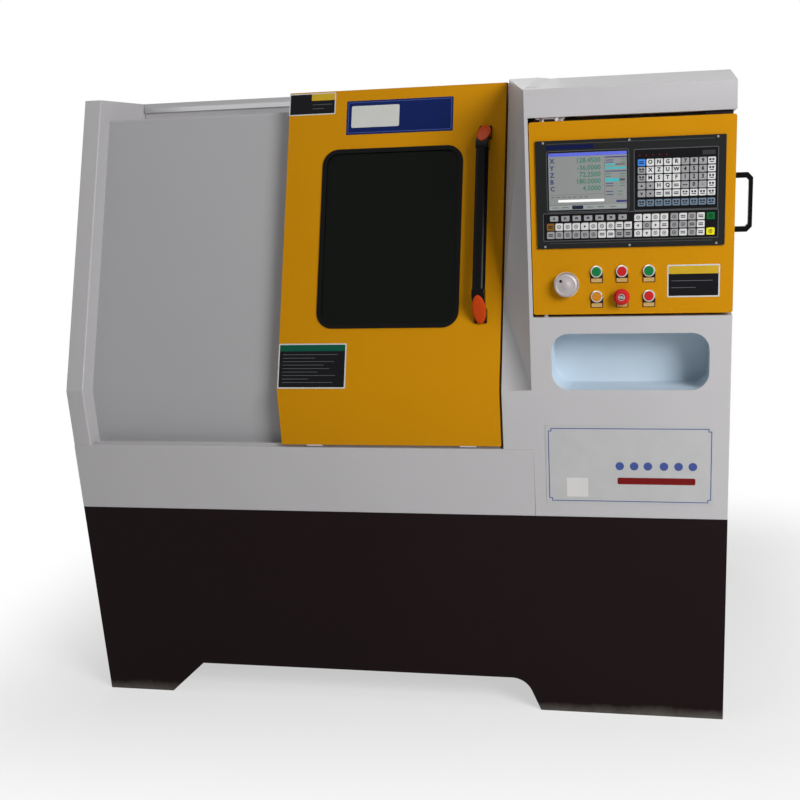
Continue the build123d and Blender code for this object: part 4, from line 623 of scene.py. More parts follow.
def rolled(name, node, radius):
    """Copy of a sheet whose outer folds are round, as bent sheet is."""
    bm = bmesh.new()
    bm.from_mesh(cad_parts[node].data)
    bmesh.ops.remove_doubles(bm, verts=bm.verts, dist=2e-6)
    bmesh.ops.dissolve_limit(bm, angle_limit=math.radians(0.6), verts=bm.verts, edges=bm.edges)
    folds = [edge for edge in bm.edges if is_fold(edge, radius)]
    bmesh.ops.bevel(bm, geom=folds, offset=radius, offset_type="OFFSET", segments=3, profile=0.5,
                    affect="EDGES", clamp_overlap=True)
    plain = finish_mesh(bm, name + "_plain", [])
    even = plain.modifiers.new("Even", "WEIGHTED_NORMAL")
    even.keep_sharp = True
    return baked(plain, name)


def is_fold(edge, radius):
    """True for a long outer corner between two broad faces."""
    least_length, least_width, least_angle = 12 * radius, 2 * radius, math.radians(35)
    if len(edge.link_faces) != 2 or edge.calc_length() < least_length:
        return False
    if edge.calc_face_angle_signed(0.0) < least_angle:
        return False
    for face in edge.link_faces:
        border = sum(side.calc_length() for side in face.edges)
        if 2 * face.calc_area() / border < least_width:
            return False
    return True


def baked(obj, name):
    """Plain mesh of an object with its modifiers; the object itself is removed."""
    graph = bpy.context.evaluated_depsgraph_get()
    mesh = bpy.data.meshes.new_from_object(obj.evaluated_get(graph))
    mesh.name = name
    bpy.data.objects.remove(obj)
    made = bpy.data.objects.new(name, mesh)
    bpy.context.scene.collection.objects.link(made)
    return made


# Settings

def coat_colour(name, description, default):
    """Setting for the colour of one coat."""
    return bpy.props.FloatVectorProperty(name=name, description=description, subtype="COLOR",
                                         default=default)


class LathePaints(bpy.types.PropertyGroup):
    white: coat_colour("White", "Powder coat of the enclosure", (0.455, 0.445, 0.455))
    # A darker copy of the white coat for the set-back sheet, which is the same paint: painted
    # shade.
    recess_shade: coat_colour("Shaded recess", "Powder coat of the set-back front sheet", (0.36, 0.36, 0.37))
    amber: coat_colour("Amber", "Powder coat of the door and the operator box",
                       (0.52, 0.225, 0.003))
    stand: coat_colour("Stand", "Dark coat of the stand", (0.011, 0.006, 0.0065))
    niche: coat_colour("Niche", "Pale coat inside the storage niche", (0.52, 0.61, 0.69))
    casting: coat_colour("Casting", "Machine grey on the castings", (0.19, 0.22, 0.23))
    cap: coat_colour("Handle caps", "Covers on the handle's ends", (0.50, 0.050, 0.003))


class LatheCamera(bpy.types.PropertyGroup):
    place: bpy.props.FloatVectorProperty(
        name="Place", description="Where the camera stands", subtype="TRANSLATION", unit="LENGTH",
        default=(0.7465, -3.117, 1.491))
    yaw: bpy.props.FloatProperty(
        name="Yaw", description="How far the camera is turned to the left", subtype="ANGLE",
        default=math.radians(9.97))
    pitch: bpy.props.FloatProperty(
        name="Pitch", description="How far the camera looks down", subtype="ANGLE",
        default=math.radians(15.6))
    roll: bpy.props.FloatProperty(
        name="Roll", description="How far the camera is tilted sideways", subtype="ANGLE",
        default=math.radians(-2.19))
    focal: bpy.props.FloatProperty(
        name="Focal length", description="In millimetres on a 36 mm wide frame", default=45.77)
    shift_x: bpy.props.FloatProperty(name="Shift X", description="Framing across", default=-0.128)
    shift_y: bpy.props.FloatProperty(name="Shift Y", description="Framing upwards", default=0.0564)


# Operators

class LATHE_OT_coat_sheets(bpy.types.Operator):
    """Powder coat on the enclosure, the door and the stand, with rounded folds"""
    bl_idname = "lathe.coat_sheets"
    bl_label = "Coat the sheets"

    def execute(self, context):
        paints = context.scene.lathe_paints
        sheet_coat = {"bump": 0.12, "gloss": 0.42}
        coats = {
            "white": surface("white_coat", "paint", paints.white, coat=0.06, specular=0.35,
                             **sheet_coat),
            "amber": surface("amber_coat", "paint", paints.amber, tone_spread=0.05, specular=0.04,
                             **sheet_coat),
            "stand": surface("stand_coat", "paint", paints.stand, bump=0.15, gloss=0.55,
                             tone_spread=0.12, grime=0.04, specular=0.05),
            "niche": surface("niche_coat", "paint", paints.niche, gloss=0.4, specular=0.3),
            # Darker copy of the white coat for the set-back sheet: painted shade.
            "recess_shade": surface("recess_shade_coat", "paint", paints.recess_shade, coat=0.06, specular=0.35,
                              **sheet_coat),
        }
        for name, node, radius, shade, body, slot in ROLLED:
            sheet = rolled(name, node, radius)
            cover(sheet, coats[shade])
            seat(sheet, body, slot, node)
        paint_nodes({coats["white"]: PLAIN_WHITE, coats["niche"]: ("niche_liner",)})
        self.filler(coats["white"])
        return {"FINISHED"}

    def filler(self, white):
        """Painted filler in the small step between the corner post's top and the cabinet's.

        Each row is its place in depth and the heights of the two tops there.
        """
        reach, sink = 26 * MM, 0.4 * MM
        bm = bmesh.new()
        rows = [[bm.verts.new(point) for point in ((TOP_STEP, y, top), (TOP_STEP + reach, y, under),
                                                   (TOP_STEP, y, under - sink))]
                for y, top, under in ((-0.535, 1.6599, 1.6592), (-0.288, 1.6997, 1.6917),
                                      (-0.226, 1.6999, 1.6998))]
        add_skin(bm, rows)
        seat(finish_mesh(bm, "post_filler", [white]), "machine", "white_paint")


class LATHE_OT_finish_machine(bpy.types.Operator):
    """Castings, ground steel and motors inside the machine"""
    bl_idname = "lathe.finish_machine"
    bl_label = "Finish the machine inside"

    def execute(self, context):
        paints = context.scene.lathe_paints
        casting = surface("casting_paint", "paint", paints.casting, bump=0.3, gloss=0.45,
                          peel_size=160.0, tone_spread=0.08)
        ground = surface("ground_steel", "brushed", (0.55, 0.55, 0.56), metallic=1.0,
                         stretch=(1.0, 14.0, 14.0))
        turned = surface("turned_steel", "brushed", (0.42, 0.42, 0.43), metallic=1.0,
                         stretch=(18.0, 1.0, 1.0))
        turret = surface("turret_steel", "brushed", (0.30, 0.31, 0.32), metallic=1.0,
                         stretch=(2.0, 9.0, 9.0))
        zinc = surface("zinc_sheet", "brushed", (0.46, 0.47, 0.48), metallic=0.85, gloss=0.38)
        motor = surface("motor_paint", "paint", (0.022, 0.022, 0.024), bump=0.2, gloss=0.5,
                        peel_size=260.0)
        belt = surface("belt_rubber", "moulded", (0.014, 0.014, 0.014), gloss=0.6)
        lamp = surface("lamp_cover", "moulded", (0.62, 0.63, 0.63), gloss=0.3)
        paint_nodes({
            casting: ("bed_casting", "headstock", "saddle", "cross_slide"),
            ground: ("bed_rails", "door_rail", "screw_supports", "x_screw", "z_screw",
                     "spindle_bearings", "door_carriages"),
            turned: ("spindle", "chuck_body", "chuck_jaw_1", "chuck_jaw_2", "chuck_jaw_3",
                     "spindle_pulley", "motor_pulley"),
            turret: ("turret_disc", "tool_holders"),
            zinc: ("chip_tray", "coolant_tank", "electrical_equipment"),
            motor: ("spindle_motor", "z_servo", "x_servo", "coolant_pump"),
            belt: ("drive_belt",),
            lamp: ("work_light",),
        })
        return {"FINISHED"}


class LATHE_OT_finish_door(bpy.types.Operator):
    """Tinted pane, rubber seal and the handle of the sliding door"""
    bl_idname = "lathe.finish_door"
    bl_label = "Finish the door"

    def execute(self, context):
        paints = context.scene.lathe_paints
        rubber = surface("seal_rubber", "moulded", (0.005, 0.005, 0.005), gloss=0.5, specular=0.05)
        black = surface("handle_black", "moulded", (0.003, 0.003, 0.0035), gloss=0.14, bump=0.01,
                        specular=0.06)
        paint_nodes({rubber: ("window_seal",), self.tinted_pane(): ("window_glass",),
                     black: ("side_grip",)})
        cap = surface("cap_orange", "moulded", paints.cap, gloss=0.25, bump=0.02, specular=0.08)
        self.handle(black, cap)
        return {"FINISHED"}

    def handle(self, black, cap):
        """Oval tube on two elbows whose slanted faces carry coloured caps."""
        low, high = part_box("door_handle_bar")
        place = leaning_place((low.x + high.x) / 2, (low.z + high.z) / 2)
        low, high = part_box("door_handle_ends")
        half = (high.z - low.z) / 2 / math.cos(LEAN) / MM - HANDLE_RISE * math.tan(LEAN) / 2
        tube, end = bmesh.new(), half - TUBE_END
        add_skin(tube, [[tube.verts.new((x * TUBE_WIDE, y, HANDLE_RISE + z * TUBE_DEEP))
                         for x, z in disc(0, 0, 1, 40)] for y in (-end, end)])
        make(tube, "handle_tube", [black], place, "door", "handle_black", "door_handle_bar",
             smooth=50.0)
        self.elbows(half, black, place)
        self.caps(half, cap, place)

    def elbows(self, half, black, place):
        """Each elbow is its side outline, pushed out to the tube's width and rounded."""
        top, under = HANDLE_RISE + ELBOW_DEEP, HANDLE_RISE - ELBOW_DEEP
        bend = half - ELBOW_FOOT - ELBOW_BEND
        outline = [(half, SOLE), (half, CAP_FOOT), (half - CAP_RUN, top), (half - ELBOW_END, top),
                   (half - ELBOW_END, under)]
        outline += [polar(ELBOW_BEND, math.pi / 2 * (1 - step / 6), bend, under - ELBOW_BEND)
                    for step in range(7)]
        outline.append((half - ELBOW_FOOT, SOLE))
        bm = bmesh.new()
        for side in (-1, 1):
            add_skin(bm, [[bm.verts.new((x, side * y, z)) for y, z in outline]
                          for x in (-TUBE_WIDE, TUBE_WIDE)])
        plain = finish_mesh(bm, "handle_elbows_plain", [black], 50.0)
        rounder = plain.modifiers.new("Round", "BEVEL")
        rounder.width = ELBOW_ROUND
        rounder.segments = 6
        rounder.limit_method = "ANGLE"
        rounder.angle_limit = math.radians(40)
        elbows = placed(baked(plain, "handle_elbows"), place)
        seat(elbows, "door", "handle_black", "door_handle_ends")

    def caps(self, half, cap, place):
        """Rounded oval covers on the elbows' slanted faces, drawn as shrinking ovals."""
        top = HANDLE_RISE + ELBOW_DEEP
        rise = top - CAP_FOOT
        slope = math.atan2(rise, CAP_RUN)
        wide, reach = TUBE_WIDE + 1, math.hypot(rise, CAP_RUN) / 2 + 2
        bm = bmesh.new()
        for side in (-1, 1):
            known = len(bm.verts)
            add_skin(bm, [[bm.verts.new((x * wide, y * reach, lift))
                           for x, y in disc(0, 0, share, 40)]
                          for share, lift in ((1.0, -2.0), (1.0, 0.6), (0.96, 1.5), (0.86, 2.3),
                                              (0.6, 2.9), (0.25, 3.2))])
            centre = Matrix.Translation((0.0, side * (half - CAP_RUN / 2), (CAP_FOOT + top) / 2))
            move_verts(bm, known, centre @ Matrix.Rotation(-side * slope, 4, "X"))
        make(bm, "handle_caps", [cap], place, "door", "cap_orange", "door_handle_caps", smooth=40.0)

    def tinted_pane(self):
        """Dark laminated pane: clear enough to show what stands behind it faintly."""
        material, tree, shader, place = new_material("tinted_pane")
        smears = noise(tree, place, 7.0, 5.0)
        tree.links.new(spread(tree, smears, 0.03, 0.09), shader.inputs["Roughness"])
        shader.inputs["Base Color"].default_value = (0.018, 0.025, 0.018, 1.0)
        shader.inputs["Transmission Weight"].default_value = 0.85
        shader.inputs["IOR"].default_value = 1.15
        return material


class LATHE_OT_finish_controls(bpy.types.Operator):
    """Controller front, lit screen, bezels, push buttons and switch"""
    bl_idname = "lathe.finish_controls"
    bl_label = "Finish the controls"

    def execute(self, context):
        paint_nodes({
            surface("fascia_grey", "moulded", (0.014, 0.0145, 0.015), gloss=0.4, bump=0.08):
                ("control_panel",),
            glowing("screen_glass", (0.19, 0.20, 0.195), (11.0, 2.0), (0.95, 1.04), 0.2, 0.18):
                ("display",),
            surface("bezel_chrome", "brushed", (0.62, 0.62, 0.63), metallic=1.0, gloss=0.12,
                    gloss_spread=0.08, tone_spread=0.05): ("control_bezels", "cam_lock"),
            surface("button_green", "moulded", (0.010, 0.17, 0.05), gloss=0.2):
                ("button_green_left", "button_green_right"),
            surface("button_red", "moulded", (0.50, 0.018, 0.018), gloss=0.2):
                ("button_red_upper", "button_red_lower", "emergency_stop"),
            surface("button_amber", "moulded", (0.55, 0.21, 0.015), gloss=0.2): ("button_amber",),
            surface("switch_black", "moulded", (0.012, 0.012, 0.012), gloss=0.35): ("main_switch",),
        })
        return {"FINISHED"}


class LATHE_OT_mount_plates(bpy.types.Operator):
    """Bare plates and labels on the door, the operator box and the apron"""
    bl_idname = "lathe.mount_plates"
    bl_label = "Mount the plates"

    def execute(self, context):
        self.inks = {
            name: surface("plate_" + name, "moulded", colour, gloss=gloss, bump=0.03)
            for name, colour, gloss in (
                ("navy", (0.0035, 0.012, 0.085), 0.3), ("line", (0.055, 0.085, 0.27), 0.3),
                ("cream", (0.55, 0.55, 0.53), 0.35), ("black", (0.006, 0.006, 0.008), 0.3),
                ("yellow", (0.52, 0.33, 0.02), 0.35), ("green", (0.004, 0.075, 0.045), 0.3),
                ("grey", (0.10, 0.105, 0.11), 0.4), ("silver", (0.465, 0.465, 0.468), 0.32),
                ("maroon", (0.16, 0.008, 0.008), 0.35), ("white", (0.62, 0.61, 0.60), 0.4))
        }
        self.nameplate()
        self.labels()
        self.apron_plate()
        return {"FINISHED"}

    def mount(self, bm, name, inks, matrix, body):
        """Lays a plate that is drawn about its middle on its surface."""
        make(bm, name, [self.inks[ink] for ink in inks], matrix, body, "panel_black")

    def nameplate(self):
        """Blue plate with a light line and a bare pale inset."""
        left, bottom, right, top = box = centred(297, 95)
        bm = bmesh.new()
        add_field(bm, box, 2, 0.0, 0.8, 0, 0.2)
        add_border(bm, grown(box, -4), 3, 1.8, 0.7, 1.0, 1)
        add_field(bm, (left + 14, bottom + 19, right - 149, top - 15), 4, 0.6, 1.5, 2, 0.3)
        matrix = leaning_place(CABINET_LEFT - 377.5 * MM, 1.6185)
        self.mount(bm, "door_nameplate", ("navy", "line", "cream"), matrix, "door")

    def labels(self):
        """Three labels: size, header's height and width as shares, border, bars, ink and place."""
        for name, width, height, header, share, border, bars, ink, matrix, body in (
                ("door_label_small", 133, 62, 0.30, 0.52, 3.0, 2, "yellow",
                 leaning_place(CABINET_LEFT - 0.6255, 1.6600), "door"),
                ("door_label_large", 190, 122, 0.14, 1.0, 3.6, 9, "green",
                 leaning_place(CABINET_LEFT - 0.5955, 0.9815), "door"),
                ("box_label", 126, 79, 0.24, 1.0, 3.4, 2, "yellow",
                 upright_place(CABINET_LEFT + 0.4050, 1.1935), "operator_unit")):
            bm = bmesh.new()
            self.label(bm, centred(width, height), header * height, share, border, bars)
            self.mount(bm, name, ("cream", "black", ink, "grey"), matrix, body)

    def label(self, bm, box, header, share, border, bars):
        """A pale border, a coloured header and a plain dark field with bars for its lines."""
        add_field(bm, box, 3, 0.0, 0.3)
        left, bottom, right, top = inner = grown(box, -border)
        add_field(bm, inner, 1.5, 0.2, 0.45, 1)
        left += (1 - share) * (right - left)
        low = top - header
        add_field(bm, (left, low, right, top), 1.2, 0.4, 0.6, 2)
        step = (low - bottom - border) / (bars + 1)
        begin = left + 0.05 * (right - left)
        for bar, reach in enumerate(BAR_REACH[:bars]):
            y = low - (bar + 1) * step
            stop = begin + reach * 0.9 * (right - left)
            add_field(bm, (begin, y - 0.7, stop, y + 0.7), 0.5, 0.4, 0.52, 3)

    def apron_plate(self):
        """Satin silver plate with a thin notched line, six discs, a bar and a pale square."""
        width, height, inset, line, notch = 432, 212, 7, 2.2, 7
        left, top = -width / 2, height / 2
        low, high = 0.9, 1.15
        bm = bmesh.new()
        add_field(bm, centred(width, height), 3, 0.0, 1.0, 0, 0.3)
        outer, inner = (notched(width - 2 * side, height - 2 * side, notch)
                        for side in (inset, inset + line))
        add_ring(bm, outer, inner, low, high, 1)
        for x in (192, 229, 264, 305, 342, 378):
            add_slab(bm, disc(left + x, top - 108, 11), low, high, 1)
        add_field(bm, (left + 186, top - 157, left + 385, top - 139), 4, low, high, 2)
        add_field(bm, (left + 54, top - 193, left + 110, top - 141), 1, low, high, 3)
        matrix = upright_place(CABINET_LEFT + 248 * MM, 0.722)
        self.mount(bm, "apron_plate", ("silver", "line", "maroon", "white"), matrix, "machine")


class LATHE_OT_set_keys(bpy.types.Operator):
    """Keyboard, screen picture and screws of the controller"""
    bl_idname = "lathe.set_keys"
    bl_label = "Set the keys"

    def execute(self, context):
        corner = PANEL[0]
        self.face = upright_place(corner.x, corner.z, corner.y)
        self.fields()
        self.keys()
        self.readout()
        places = [(x, z) for x in (19.5, 225.5, 431.5) for z in (5.2, 249.8)]
        screws("fascia_screws", places, self.face, 3.2, 1.8, "operator_unit", "bezel_chrome")
        return {"FINISHED"}

    def fields(self):
        """Black glossy fields round the keys and the screen, with grey frames and fold lines as
        painted highlight, and small lamps.
        """
        materials = [surface(name, "moulded", colour, gloss=gloss, bump=bump)
                     for name, colour, gloss, bump in (
                         ("field_black", (0.006, 0.006, 0.007), 0.18, 0.03),
                         ("field_edge_highlight", (0.075, 0.077, 0.08), 0.35, 0.05),
                         ("strip_blue", (0.004, 0.008, 0.055), 0.25, 0.05),
                         ("lamp_red", (0.22, 0.006, 0.006), 0.2, 0.05),
                         ("lamp_window", (0.035, 0.035, 0.037), 0.15, 0.05))]
        black, edge, strip, red, window = range(len(materials))
        bm = bmesh.new()
        # Grey frames round the key fields and the screen stand for light on their raised edges:
        # painted highlight.
        for box in ((237.7, 87.7, 432.0, 226.6), (16.8, 19.8, 434.0, 83.4)):
            add_field(bm, box, 2, -0.2, 0.5, black)
            add_border(bm, grown(box, 2), 3, 2, -0.2, 0.9, edge)
        screen = (*on_fascia(SCREEN[0]), *on_fascia(SCREEN[1]))
        for grow, width, index in ((3.2, 3.2, black), (5.0, 1.8, edge)):
            add_border(bm, grown(screen, grow), 2 + grow, width, -0.2, 0.8, index)
        add_field(bm, (26.7, 234.5, 139.7, 243.5), 0.5, -0.2, 0.4, strip)
        # Two grey lines at the fascia's folds, drawn in the same painted highlight.
        for height in (12.5, 247.0):
            add_field(bm, (28.0, height - 0.5, 423.0, height + 0.5), 0.4, -0.2, 0.5, edge)
        for x in (249.5, 265.5, 281.6, 296.9, 312.9):
            add_slab(bm, disc(x, 213.8, 1.5, 12), 0.4, 0.9, red)
        add_field(bm, (396.0, 210.3, 425.9, 220.4), 0.8, 0.4, 0.8, window)
        make(bm, "fascia_fields", materials, self.face, "operator_unit", "panel_black")

    def keys(self):
        """One cap for each key of the construction, in the colour of its field, with its legend."""
        inks = [surface("key_" + name, "moulded", colour, gloss=0.38, bump=0.05)
                for name, colour in KEY_COLOURS.items()]
        ink = surface("key_legend", "moulded", (0.012, 0.012, 0.014), gloss=0.45)
        red = surface("key_lamp", "moulded", (0.30, 0.01, 0.01), gloss=0.2)
        caps, marks, letters = bmesh.new(), bmesh.new(), []
        codes = list(KEY_COLOURS)
        number = 0
        for low, high in separate_boxes("key_pads"):
            x, y = on_fascia((low + high) / 2)
            wide, tall = (high.x - low.x) / MM, (high.z - low.z) / MM
            code, legend, lamp = self.look_up(x, y)
            if legend == "f" or (legend in "<>" and wide > BROAD_KEY):
                wide = BROAD_CAP
            top = (PANEL[0].y - low.y) / MM
            box = (x - wide / 2, y - tall / 2, x + wide / 2, y + tall / 2)
            add_field(caps, box, 1.6, 0.3, top, codes.index(code), 0.5)
            if legend == "f":
                number += 1
                letters.append(("F%d" % number, 7, "CENTER", x, y, top))
            elif legend.isalnum():
                letters.append((legend, 12.5, "CENTER", x, y + 0.6, top))
            else:
                self.mark(marks, legend, x, y, top)
            if lamp:
                add_slab(marks, disc(box[0] + 1.6, box[3] - 1.4, 1.0, 8), top - 0.2, top + 0.2, 1)
        add_lettering(marks, letters, 0.3, 0, 0.5)
        make(caps, "key_caps", inks, self.face, "operator_unit", "key_grey", "key_pads")
        make(marks, "key_legends", [ink, red], self.face, "operator_unit", "panel_black")

    def look_up(self, x, y):
        """Colour and legend of the key at a place on the fascia, and whether it has a lamp."""
        for (left, bottom, right, top), colours, legends in KEY_FIELDS:
            if left <= x <= right and bottom <= y <= top:
                row = int((top - y) / (top - bottom) * len(colours))
                column = int((x - left) / (right - left) * len(colours[0]))
                lamp = bottom < 60 and top < 85
                return colours[row][column], legends[row][column], lamp
        raise ValueError("no field of keys at %.1f, %.1f" % (x, y))

    def mark(self, bm, legend, x, y, top):
        """Plain sign on a key: bars, dots, a ring or an arrow head."""
        low, high = top - 0.2, top + 0.15
        if legend in "<>^v":
            turn = {">": 0.0, "^": math.pi / 2, "<": math.pi, "v": -math.pi / 2}[legend]
            add_slab(bm, disc(x, y, 3.8, 3, turn), low, high)
        elif legend == "@":
            add_ring(bm, disc(x, y, 4.6, 14), disc(x, y, 3.2, 14), low, high)
            add_slab(bm, disc(x, y, 1.5, 8), low, high)
        elif legend == ":":
            for middle in (x - 3.4, x + 3.4):
                add_field(bm, (middle - 2.3, y, middle + 2.3, y + 4.4), 0.6, low, high)
            add_field(bm, (x - 5.2, y - 4.2, x + 5.2, y - 2.2), 0.5, low, high)
        else:
            reach = 1.2 if legend == "." else 5.6
            for middle in ((y - 1.9, y + 1.9) if legend == "=" else (y,)):
                add_field(bm, (x - reach, middle - 1.1, x + reach, middle + 1.1), 0.5, low, high)

    def readout(self):
        """Picture on the screen: axis letters, figures, bars and a strip of soft keys."""
        inks = [glowing("screen_" + name, colour, (60.0, 1.0), (0.94, 1.06), 0.25, 0.3)
                for name, colour in (
                    ("title", (0.075, 0.10, 0.52)), ("letter", (0.012, 0.014, 0.11)),
                    ("figure", (0.022, 0.13, 0.085)), ("bar", (0.03, 0.33, 0.36)),
                    ("dark", (0.05, 0.055, 0.06)), ("white", (0.80, 0.80, 0.78)),
                    ("pale", (0.22, 0.24, 0.235)))]
        title, letter, figure, bar, dark, white, pale = range(len(inks))
        bm = bmesh.new()
        fields = (
            (0.5, 125.6, 188.5, 133.5, title), (135.0, 14.0, 135.6, 124.0, dark),
            (4.0, 36.0, 133.0, 36.5, dark), (137.0, 119.5, 188.0, 122.0, letter),
            (137.0, 101.5, 161.0, 105.5, bar), (161.5, 102.5, 184.0, 105.0, dark),
            (137.0, 93.0, 187.0, 97.6, bar), (137.0, 87.0, 187.0, 89.0, letter),
            (137.0, 64.0, 170.0, 71.5, bar), (171.0, 65.0, 184.0, 71.0, dark),
            (163.0, 15.5, 188.0, 20.5, letter), (22.5, 18.5, 134.0, 24.3, white),
            (1.0, 1.0, 188.0, 10.5, pale), (56.0, 1.4, 83.0, 10.2, letter),
            (2.0, 12.0, 133.0, 12.5, dark))
        for *box, index in fields:
            add_field(bm, box, 0.1, 0.05, 0.15, index)
        dashes = [(x, 29.5, 8.0, dark) for x in (5, 18, 32, 46, 59, 73, 87)]
        dashes += [(x, 5.0, 15.0, dark) for x in (8, 32, 92, 118, 148)]
        dashes += [(138, z, 18.0, letter) for z in (113, 108, 59, 53, 40, 33)]
        dashes += [(x, z, 12.0, figure) for x, heights in (
            (174, (114, 108)), (172, (81, 75, 59, 53)), (166, (40, 33)), (138, (81, 75)))
            for z in heights]
        for x, z, length, index in dashes:
            add_field(bm, (x, z, x + length, z + 1.7), 0.3, 0.08, 0.18, index)
        rows = (("X", "128.4500", 115.0), ("Y", "-36.0000", 98.0), ("Z", "72.2500", 82.0),
                ("B", "180.0000", 66.0), ("C", "4.5000", 50.0))
        names = [(name, 15, "LEFT", 4, z, 0.15) for name, value, z in rows]
        values = [(value, 16, "RIGHT", 126, z, 0.15) for name, value, z in rows]
        add_lettering(bm, names, 0.1, letter, 0.5)
        add_lettering(bm, values, 0.1, figure, 0.35)
        matrix = upright_place(SCREEN[0].x, SCREEN[0].z, SCREEN[0].y)
        make(bm, "screen_picture", inks, matrix, "operator_unit", "screen")


class LATHE_OT_dress_buttons(bpy.types.Operator):
    """Legend plates, the turned handwheel and the stop button's centre"""
    bl_idname = "lathe.dress_buttons"
    bl_label = "Dress the buttons"

    def execute(self, context):
        black = surface("legend_black", "moulded", (0.012, 0.010, 0.010), gloss=0.4)
        cream = surface("legend_cream", "moulded", (0.50, 0.33, 0.12), gloss=0.4)
        edge = surface("legend_edge", "moulded", (0.13, 0.035, 0.012), gloss=0.4)
        plates = bmesh.new()
        for x in (170.0, 232.3, 298.0):
            for z in (1159.0, 1220.0):
                self.legend_plate(plates, x, z)
        make(plates, "legend_plates", [black, cream, edge], upright_place(CABINET_LEFT, 0.0),
             "operator_unit", "panel_black")
        self.wheel()
        self.stop_centre()
        return {"FINISHED"}

    def legend_plate(self, bm, x, z):
        """Plate round one bezel: dark behind the bezel, with a bare pale strip under it."""
        add_field(bm, (x - 15.5, z - 28, x + 15.5, z - 2), 2, 0.0, 0.9)
        strip = (x - 14, z - 27, x + 14, z - 16)
        add_field(bm, strip, 0.8, 0.8, 1.1, 1)
        add_border(bm, strip, 0.8, 0.8, 1.0, 1.2, 2)

    def wheel(self):
        """Handwheel turned from bar: domed rim, satin face and a dark disc for the finger dimple,
        painted shade of its hollow.
        """
        low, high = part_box("handwheel")
        dial = surface("dial_aluminium", "brushed", (0.40, 0.365, 0.37), metallic=0.6, gloss=0.42,
                       stretch=(1.0, 8.0, 1.0))
        dark = surface("dial_dimple_shade", "moulded", (0.015, 0.015, 0.016), gloss=0.4)
        bm = bmesh.new()
        add_turned(bm, ((0.0, -19.5), (27.5, -19.5), (29.0, -18.2), (29.0, -8.6), (28.2, -8.0),
                        (28.2, -6.4), (29.0, -5.8), (28.9, -4.0), (27.6, -1.6), (25.4, -0.4),
                        (23.4, 0.0), (22.6, -0.5), (9.5, -0.5), (8.6, 0.0), (0.0, 0.2)), 96)
        # Dark disc where the finger dimple's hollow is: painted shade.
        add_slab(bm, disc(-12.0, 10.8, 3.6, 24), -0.8, 0.4, 1, 0.5)
        front = upright_place((low.x + high.x) / 2, (low.z + high.z) / 2, FRONT_Y - 23 * MM)
        make(bm, "turned_handwheel", [dial, dark], front, "dial", "dial_aluminium", "handwheel",
             smooth=30.0)

    def stop_centre(self):
        """Grey inlay with two curved arrows on the emergency stop's head."""
        low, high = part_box("emergency_stop")
        grey = surface("stop_inlay", "moulded", (0.36, 0.36, 0.35), gloss=0.3)
        dark = surface("stop_arrow", "moulded", (0.02, 0.02, 0.02), gloss=0.4)
        bm = bmesh.new()
        add_slab(bm, disc(0, 0, 8.4, 40), -0.3, 0.3, 0, 0.2)
        for turn in (0.3, 0.3 + math.pi):
            arc = [turn + 0.22 * step for step in range(9)]
            tip = arc[-1]
            tail = [polar(6.4, angle) for angle in arc] + [polar(4.2, angle) for angle in arc[::-1]]
            head = [polar(7.6, tip), polar(5.3, tip + 0.62), polar(3.0, tip)]
            for outline in (tail, head):
                add_slab(bm, outline, 0.2, 0.5, 1)
        matrix = upright_place((low.x + high.x) / 2, (low.z + high.z) / 2, low.y)
        make(bm, "stop_inlay", [grey, dark], matrix, "stop_head", "button_red")


